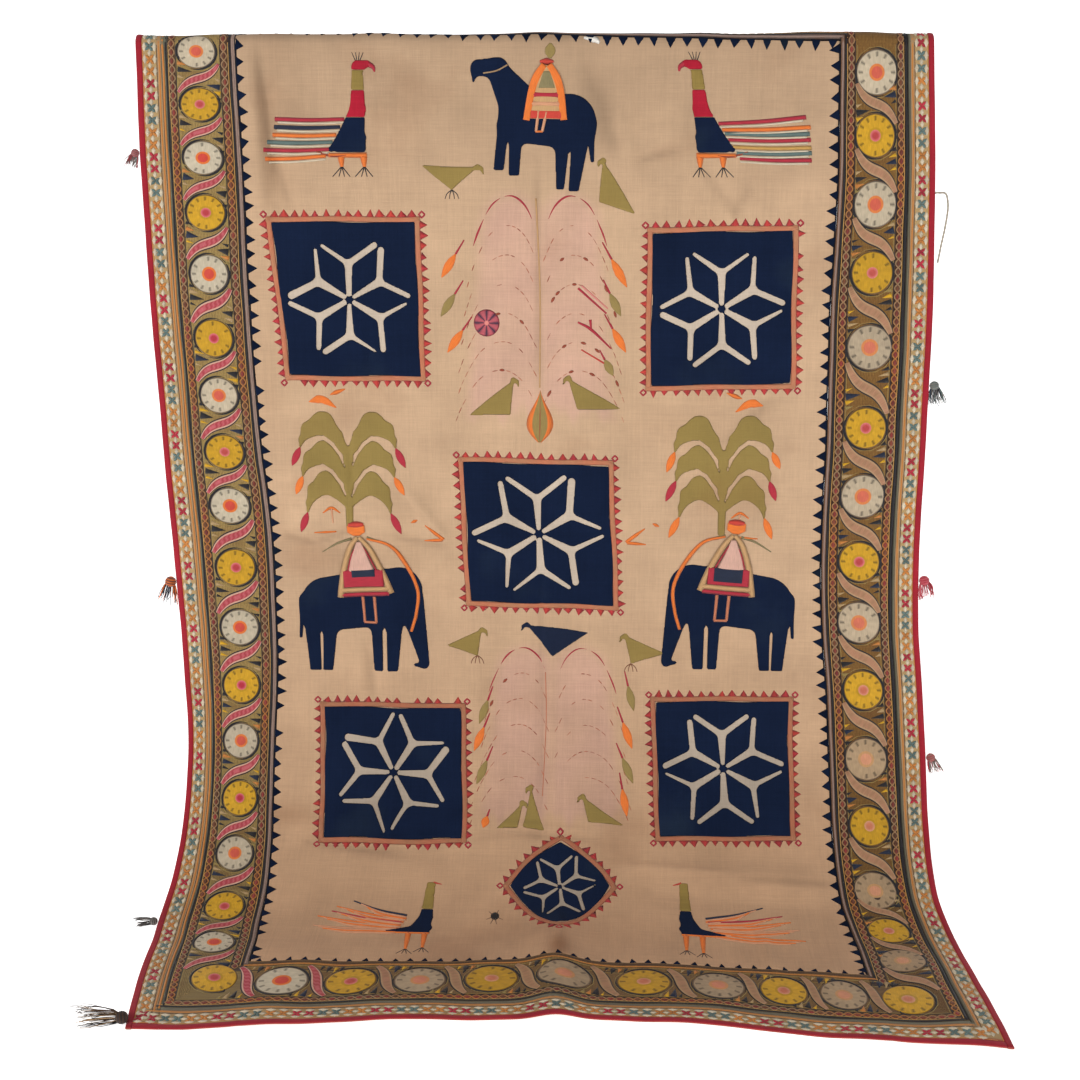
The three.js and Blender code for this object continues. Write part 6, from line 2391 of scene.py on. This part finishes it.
@dataclass
class Trees:
    """Broken red outlines of two faded trees, with the birds, buds and ornaments about them."""

    branch_stations: int = 64
    dash: int = 4

    def branches(self, tree: TreeSize, side: float) -> Array:
        """One side's drooping branches: from the stem up over a crown and down to an outer tip."""
        reach = tree.reach
        lines = []
        for tier in range(tree.tiers):
            top = tree.along + tree.pitch * tier
            wide = reach * (1.0 + 0.045 * tier)
            corners = (
                (tree.x + side * 5, top + 58),
                (tree.x + side * 0.22 * wide, top + 18),
                (tree.x + side * 0.45 * wide, top + 2),
                (tree.x + side * 0.72 * wide, top + 16),
                (tree.x + side * 0.93 * wide, top + 58),
                (tree.x + side * 1.06 * wide, top + 100),
            )
            lines.append(bent_line(corners, self.branch_stations))
        return np.stack(lines)

    def outline(self, work: Piecework, tree: TreeSize, random: np.random.Generator) -> None:
        """Bold lengths along the first tier, and short stitches kept here and there along the others.

        Args:
            work: What they are added to.
            tree: The tree.
            random: Source of wear.
        """
        dashes = self.branch_stations // self.dash
        weave = np.array([0.4, 1.0, 1.0, 0.4])
        for side in (-1.0, 1.0):
            pieces = self.branches(tree, side).reshape(tree.tiers, dashes, self.dash, 2)
            tier = np.arange(tree.tiers)[:, None]
            kept = random.random((tree.tiers, dashes)) < np.where(tier == 0, 0.0, 0.62)
            wear = random.uniform(0.1, 0.9, kept.shape)[kept]
            half = 0.62 * random.uniform(0.6, 1.3, kept.shape)
            vivid = side > 0.0 and tree is TREES[0]
            bold = random.random(kept.shape) < (0.16 if vivid else 0.05)
            half = np.where(bold, 2.2, half)
            tint = mixed(Dye.RUST, Dye.SALMON, np.where(bold[kept], 0.1, wear))
            work.ribbons(pieces[kept], half[kept][:, None] * weave, tint[:, None, None], FIELD_TOP, 0.8)
            for first, last, half in ((6, 30, 2.6 if vivid else 1.5), (32, 44, 1.5), (45, 58, 1.5)):
                line = self.branches(tree, side)[:1, first:last]
                width = half * np.sin(math.pi * np.linspace(0.06, 0.94, last - first))
                width = width * random.uniform(0.6, 1.1)
                work.ribbons(line, width, Dye.CRIMSON.rgb, FIELD_TOP, 0.8)

    def stitching(self) -> Piece:
        """Branches, stems, buds on red stalks, the rosette, the seed pod and the darned hole."""
        work = Piecework()
        for order, tree in enumerate(TREES):
            self.outline(work, tree, np.random.default_rng(TREE_SEED + order))
        passes = [
            Pass(((10, 256), (17, 400), (17, 556)), (1.5, 1.2), Dye.WHEAT, 0.1),
            Pass(((28, 1040), (30, 1120), (26, 1250)), (0.7, 0.6), Dye.SALMON, 0.1),
            Pass(((78, 396), (124, 436)), (2.0, 1.4), Dye.CRIMSON),
            Pass(((84, 392), (126, 428)), (1.6, 1.2), Dye.BLUSH),
            Pass(((78, 450), (100, 462), (132, 492)), (1.6, 2.6, 1.2), Dye.CRIMSON),
            Pass(((98, 446), (100, 464)), (2.4, 1.2), Dye.CRIMSON),
            Pass(((84, 494), (128, 520)), (1.2, 1.6), Dye.SCARLET),
            # Painted light: a chalk-white strip stands for light showing through a worn hole near the top.
            Pass(((84, 14), (100, 16), (108, 22)), (2.0, 6.0, 2.0), Dye.CHALK),
        ]
        for bud in BUDS:
            run_x, run_along = bud.tip_x - bud.x, bud.tip_along - bud.along
            stalk = ((bud.x - run_x * 0.6, bud.along - run_along * 0.6), (bud.x, bud.along))
            passes.append(Pass(stalk, (1.0, 1.8), Dye.CRIMSON, 0.1))
            tip = (bud.tip_x, bud.tip_along)
            passes.append(Pass(((bud.x, bud.along), tip), (1.0, 5.6, 7.2, 5.0, 0.6), bud.dye))
        for x, along, dye in ((-123, 243, Dye.INK), (-88, 1013, Dye.BROWN), (172, 1023, Dye.BROWN)):
            for toe in (-11, -4, 4, 11):
                bent = ((x, along), (x + 0.7 * toe, along + 6), (x + toe, along + 14))
                passes.append(Pass(bent, (0.9, 0.6), dye))
        for turn in (0.3, 1.3, 2.0, 2.8, 3.9, 5.1):
            way = np.array([math.cos(turn), math.sin(turn)])
            thread = ((-43 + 4 * way[0], 1472 + 4 * way[1]), (-43 + 14 * way[0], 1473 + 16 * way[1]))
            passes.append(Pass(thread, (0.8, 0.4), Dye.SOIL))
        lay_passes(work, passes, FIELD_TOP)
        self.ornaments(work)
        return work.build("tree_stitching", "binding_cloth", LAID)

    def ornaments(self, work: Piecework) -> None:
        """A rosette of red and navy petals, a seed pod with a dark vein, and a dark disc of painted shade for
        a hole.
        """
        spoke = np.arange(24)
        petal = np.where((spoke % 3 == 0)[:, None], Dye.NAVY.rgb, Dye.ROSE.rgb * 0.75)
        tint = np.broadcast_to(petal, (1, 5, 24, 3)).copy()
        tint[:, 0] = Dye.BLUSH.rgb
        tint[:, 4] = Dye.CRIMSON.rgb * 0.7
        rings, lifts = np.array([0.14, 0.2, 0.6, 0.86, 1.0]), np.array([1.2, 1.0, 1.1, 0.9, 0.1])
        work.discs(np.array([[-69.0, 452.0]]), np.array([[21.0, 22.0]]), rings, lifts, tint, FIELD_TOP)
        pod = bent_line([(18, 560), (17, 646)], 18)[None]
        widths = 22.0 * np.sin(math.pi * np.linspace(0.02, 0.97, 18) ** 1.5)[None]
        profile = np.array([-1.0, -0.6, -0.54, -0.07, 0.0, 0.07, 0.54, 0.6, 1.0])
        green, rim, vein = Dye.OLIVE.rgb, Dye.ORANGE.rgb, Dye.RUST.rgb
        hues = np.stack([rim, rim, green, green, vein, green, green, rim, rim])
        work.ribbons(pod, widths, hues[None, None], FIELD_TOP, 1.2, profile=profile)
        # Painted shade: the cloth under it is whole, and this dark disc stands for the shade inside a hole.
        dark = np.broadcast_to(Dye.INK.rgb * 0.5, (1, 2, 12, 3))
        radii, rings, lifts = np.array([[7.0, 8.0]]), np.array([0.6, 1.0]), np.array([0.25, 0.15])
        work.discs(np.array([[-43.0, 1471.0]]), radii, rings, lifts, dark, FIELD_TOP - 0.1)

    def flock(self) -> Piece:
        """Small birds, each a three-cornered cloth from tail to head to belly, with a hooked beak."""
        work = Piecework()
        for bird in BIRDS:
            tail, head, low = (np.array(spot, float) for spot in (bird.tail, bird.head, bird.low))
            corners = np.stack([tail, head, low])
            turn = np.cross(head - tail, low - tail)
            corners = corners if turn > 0.0 else corners[::-1]
            forward = math.copysign(1.0, head[0] - tail[0])
            beak = (
                Stroke(*head, 4.5, head[0] + 6 * forward, head[1] + 2, 2.6),
                Stroke(head[0] + 6 * forward, head[1] + 2, 2.6, head[0] + 9 * forward, head[1] + 11, 1.0),
            )

            def distance(x: Array, along: Array) -> Array:
                """The three-cornered piece joined to the beak."""
                shape = corner_distance(x, along, corners, 0.8)
                return soft_union(shape, stroke_distance(x, along, beak, 2.0), 4.0)

            low_corner, high_corner = corners.min(axis=0) - 18.0, corners.max(axis=0) + 18.0
            box = (low_corner[0], high_corner[0], low_corner[1], high_corner[1])
            work.patch(distance, box, 2.8, bird.dye.rgb, PATCH_LOW, 1.7)
        return work.build("small_birds", "olive_cotton", OLIVE_COTTON)

    def build(self) -> list[Piece]:
        """Builds the stitching and the birds."""
        return [self.stitching(), self.flock()]


class TasselSize(NamedTuple):
    """A tassel: its node, edge, place along it, head and thread length, the way it falls, and its dyes."""

    name: str
    side: int
    along: float
    head: float
    length: float
    out: float
    front: float
    down: float
    dyes: tuple[Dye, ...]


TASSELS = table(
    TasselSize,
    ("tassel_left_upper", -1, 187, 7, 20, 0.35, 0.1, 0.9, (Dye.CRIMSON, Dye.GREY)),
    ("tassel_left_middle", -1, 890, 10, 34, 0.2, 0.15, 0.95, (Dye.NAVY, Dye.NAVY, Dye.ORANGE)),
    ("tassel_left_lower", -1, 1502, 7, 26, 0.9, 0.25, 0.12, (Dye.INK, Dye.GREY)),
    ("tassel_corner", -1, 1770, 10, 62, 0.95, 0.25, 0.03, (Dye.SOIL, Dye.TAN, Dye.INK)),
    ("tassel_right_upper", 1, 548, 8, 28, 0.25, 0.1, 0.95, (Dye.SLATE, Dye.NAVY, Dye.GREY)),
    ("tassel_right_middle", 1, 872, 9, 30, 0.25, 0.1, 0.95, (Dye.CRIMSON, Dye.ROSE)),
    ("tassel_right_lower", 1, 1174, 8, 26, 0.35, 0.15, 0.9, (Dye.MAUVE, Dye.GREY, Dye.CRIMSON)),
)


def edge_point(side: int, along: float) -> Array:
    """A point on the left (-1) or right (1) edge of the cloth, in millimetres."""
    across = 0.0 if side < 0 else 3.0
    spot = np.array([along])
    return CLOTH.middle(CLOTH.line_x(across, spot), spot)[0]


@dataclass
class Tassel:
    """A tuft on the edge: a wound head and loose threads that fan out and sag."""

    size: TasselSize
    seed: int
    strands: int = 46
    stations: int = 7
    thread: float = 0.75
    floor_clearance: float = 1.2

    def build(self) -> Piece:
        """Threads start in the head, spread as the root of their length and bend toward the ground."""
        size = self.size
        random = np.random.default_rng(self.seed)
        floor = CLOTH.trace[2, -1] - 2.2 + self.floor_clearance
        centre = edge_point(size.side, size.along)
        rise = max(0.0, floor + size.head * 0.86 - centre[2])
        aside = size.side * (SEAM_GAP + math.sqrt(max(1.0, size.head**2 - rise**2)))
        centre = centre + np.array([aside, 0.0, rise])
        way = np.array([size.side * size.out, -size.front, -size.down])
        way = unit(way)
        level = unit(np.cross([0.0, 1.0, 0.0], way))
        turn = random.uniform(0.0, 2.0 * math.pi, (self.strands, 1, 1))
        lift = np.cross(way, level) * np.abs(np.sin(turn)) * random.uniform(0.2, 1.0, turn.shape)
        fan = level * np.cos(turn) + lift
        share = np.linspace(0.0, 1.0, self.stations)[None, :, None]
        length = size.length * random.uniform(0.66, 1.0, turn.shape)
        curl = random.normal(0.0, 0.1, (self.strands, 1, 3)) * length
        curl = curl * np.sin(share * random.uniform(2.0, 5.0, turn.shape)) * share
        paths = centre + fan * size.head * 0.45 + way * share * (size.head * 0.5 + length)
        paths = paths + fan * 0.36 * length * np.sqrt(share) + curl
        paths[..., 2] = np.maximum(paths[..., 2], floor + self.thread)
        dyes = linear_dyes(size.dyes)
        tint = dyes[random.integers(0, len(dyes), self.strands)]
        tint = tint * random.uniform(0.75, 1.2, (self.strands, 1))
        work = Piecework()
        work.tubes(paths * MM, self.thread * (1.0 - 0.45 * share) * MM, 4, tint[:, None, None])
        self.head(work, centre, way)
        return work.build(f"{size.name}_threads", "tassel_thread", STRAND, [size.name])

    def head(self, work: Piecework, centre: Array, way: Array) -> None:
        """A wound ball: rings whose radius follows a half circle, ridged by the turns of thread."""
        size = self.size
        share = np.linspace(-0.97, 0.97, 15)
        path = centre + way * share[:, None] * size.head * 0.92
        ridge = 1.0 + 0.07 * np.cos(share * 26.0)
        radius = size.head * 0.94 * np.sqrt(1.0 - share**2) * ridge * MM
        tint = mixed(size.dyes[0], size.dyes[-1], 0.5 + 0.5 * np.cos(share * 13.0))
        work.tubes(path[None] * MM, radius[None, :, None], 14, tint[None, :, None])


@dataclass
class TieCord:
    """A free cord at the right edge: it leaves straight out, turns over and hangs to its cut end."""

    along: float = 246.0
    diameter: float = 3.0
    stations: int = 90
    sides: int = 10
    twist: float = 7.0
    length: float = 0.130
    route: tuple[Triple, ...] = (
        (0, 0, 0),
        (6, 0, 0),
        (16, 3, -2),
        (20, 5, -22),
        (18, 4, -52),
        (14, 2, -82),
        (11, 1, -108),
    )

    def build(self) -> Piece:
        """A two-ply tube along the route, its ring turned with the twist."""
        start = edge_point(1, self.along) + np.array([SEAM_GAP, 0.0, 0.0])
        steps = np.array(self.route, float) * np.array([1.0, -1.0, 1.0])
        stations = np.arange(len(steps), dtype=float)
        at = np.linspace(0.0, len(steps) - 1.0, self.stations)
        path = start + np.stack([curve_through(stations, steps[:, axis], at) for axis in range(3)], axis=1)
        run = run_length(path[None])[0]
        ply = 0.92 + 0.12 * np.abs(np.cos(circle(self.sides) - math.pi * run[:, None] / self.twist))
        # Painted shade: the cord is grey in the grooves of its twist and cream on its ridges.
        tint = mixed(Dye.GREY, Dye.CREAM, 4.0 * (ply - 0.9))
        work = Piecework()
        work.tubes(path[None] * MM, (self.diameter / 2.0 * ply * MM)[None], self.sides, tint[None])
        piece = work.build("tie_cord_twist", "tie_thread", STRAND, ["tie_cord"])
        [tuple(spot) for spot in path * MM]
        return piece


@dataclass
class Studio:
    """A pale floor that sweeps up far behind, soft light from the front, and the camera."""

    camera_place: Triple = (0.121, -2.452, -0.118)
    camera_tilt: float = 74.14
    camera_turn: float = 2.46
    focal_length: float = 50.0
    floor_gap: float = 0.0008
    half_width: float = 16.0
    sweep_start: float = 5.0
    sweep_radius: float = 3.0
    sweep_top: float = 9.0
    glow: float = 0.8
    glow_from: float = -2.2
    glow_run: float = 1.4
    world_strength: float = 0.3

    def camera(self) -> None:
        """Places the camera and makes it the scene's own."""
        data = bpy.data.cameras.new("camera")
        data.lens = self.focal_length
        data.sensor_width = 36.0
        made = bpy.data.objects.new("camera", data)
        made.location = self.camera_place
        made.rotation_euler = (math.radians(self.camera_tilt), 0.0, math.radians(self.camera_turn))
        bpy.context.scene.collection.objects.link(made)
        bpy.context.scene.camera = made

    def lamp(self, name: str, place: Triple, size: float, watts: float) -> None:
        """Adds a square soft light that points at the middle of the cloth.

        Args:
            name: Its name.
            place: Where it stands.
            size: Its side.
            watts: Its power.
        """
        data = bpy.data.lights.new(name, "AREA")
        data.size = size
        data.energy = watts
        made = bpy.data.objects.new(name, data)
        way = np.array([0.0, -0.1, -0.6]) - np.array(place)
        flat = math.hypot(way[0], way[1])
        made.location = place
        made.rotation_euler = (math.pi / 2.0 + math.atan2(way[2], flat), 0.0, math.atan2(-way[0], way[1]))
        bpy.context.scene.collection.objects.link(made)

    def floor(self) -> None:
        """A level floor under the hanging, bent up behind as a quarter circle and then upright."""
        level = CAD_BOX[0].z - self.floor_gap
        bend = np.linspace(0.0, math.pi / 2.0, 13)
        radius = self.sweep_radius
        y = self.sweep_start + np.concatenate([radius * np.sin(bend), [radius]])
        y = np.concatenate([[-self.half_width], y])
        z = level + np.concatenate([[0.0], radius * (1.0 - np.cos(bend)), [self.sweep_top]])
        rows = len(y)
        left = np.stack([np.full(rows, -self.half_width), y, z], axis=1)
        right = left * np.array([-1.0, 1.0, 1.0])
        here = np.arange(rows - 1)
        faces = np.stack([here, here + rows, here + rows + 1, here + 1], axis=1)
        mesh = bpy.data.meshes.new("floor")
        mesh.from_pydata(np.concatenate([left, right]).tolist(), [], faces.tolist())
        bath = DyeBath("pale_floor")
        spot = bath.node("ShaderNodeTexCoord", output="Object")
        speck = bath.noise(spot, 3.0)
        back = bath.node("ShaderNodeSeparateXYZ", inputs={"Vector": spot}, output="Y")
        shine = ((back - self.glow_from) * (1.0 / self.glow_run)).held(0.0, 1.0)
        colour = bath.mix(speck, (0.92, 0.92, 0.92, 1.0), (0.94, 0.94, 0.94, 1.0))
        made = bath.finish(colour, speck, 0.0001, 0.85, 0.1, 0.0)
        shader = next(node for node in made.node_tree.nodes if node.type == "BSDF_PRINCIPLED")
        shader.inputs["Emission Strength"].default_value = self.glow
        bath.tree.links.new(shine.socket, shader.inputs["Emission Color"])
        mesh.materials.append(made)
        mesh.shade_smooth()
        stage = bpy.data.objects.new("floor", mesh)
        bpy.context.scene.collection.objects.link(stage)
        stage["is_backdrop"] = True

    def light(self) -> None:
        """A far light above to the left, a weaker one to the right, and a pale sky."""
        self.lamp("key_light", (-4.2, -3.4, 1.6), 1.0, 165.0)
        self.lamp("side_light", (3.2, -3.2, -0.2), 2.0, 66.0)
        world = bpy.data.worlds.new("pale_sky")
        world.use_nodes = True
        world.node_tree.nodes["Background"].inputs["Color"].default_value = (1.0, 0.995, 0.99, 1.0)
        world.node_tree.nodes["Background"].inputs["Strength"].default_value = self.world_strength
        bpy.context.scene.world = world
        bpy.context.scene.view_settings.view_transform = "Standard"

    def build(self) -> None:
        """Sets up the camera, the floor and the lights."""
        self.camera()
        self.floor()
        self.light()


def write_sizes() -> None:
    """Updates the view layer."""
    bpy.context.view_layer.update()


def main() -> None:
    """Builds the hanging from the camera and the cord to the sheets, patches and stitches."""
    logging.basicConfig(level=logging.INFO, format="%(name)s: %(message)s")
    Studio().build()
    TieCord().build()
    panel = FieldPanel()
    cloth = panel.build()
    build_border()
    for stitching, seed in ((BorderStitching, BORDER_SEED), (BandStitching, BAND_SEED)):
        for order, side in enumerate(Side):
            stitching(side, seed + order).build()
    sewn = [SeamTeeth().build()]
    for order, size in enumerate(STARS):
        sewn += StarPatch(size, STAR_SEED + order).build()
    sewn += Menagerie().build()
    sewn += Trees().build()
    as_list(sewn)
    for order, size in enumerate(TASSELS):
        Tassel(size, TASSEL_SEED + order).build()
    write_sizes()


if __name__ == "__main__":
    main()
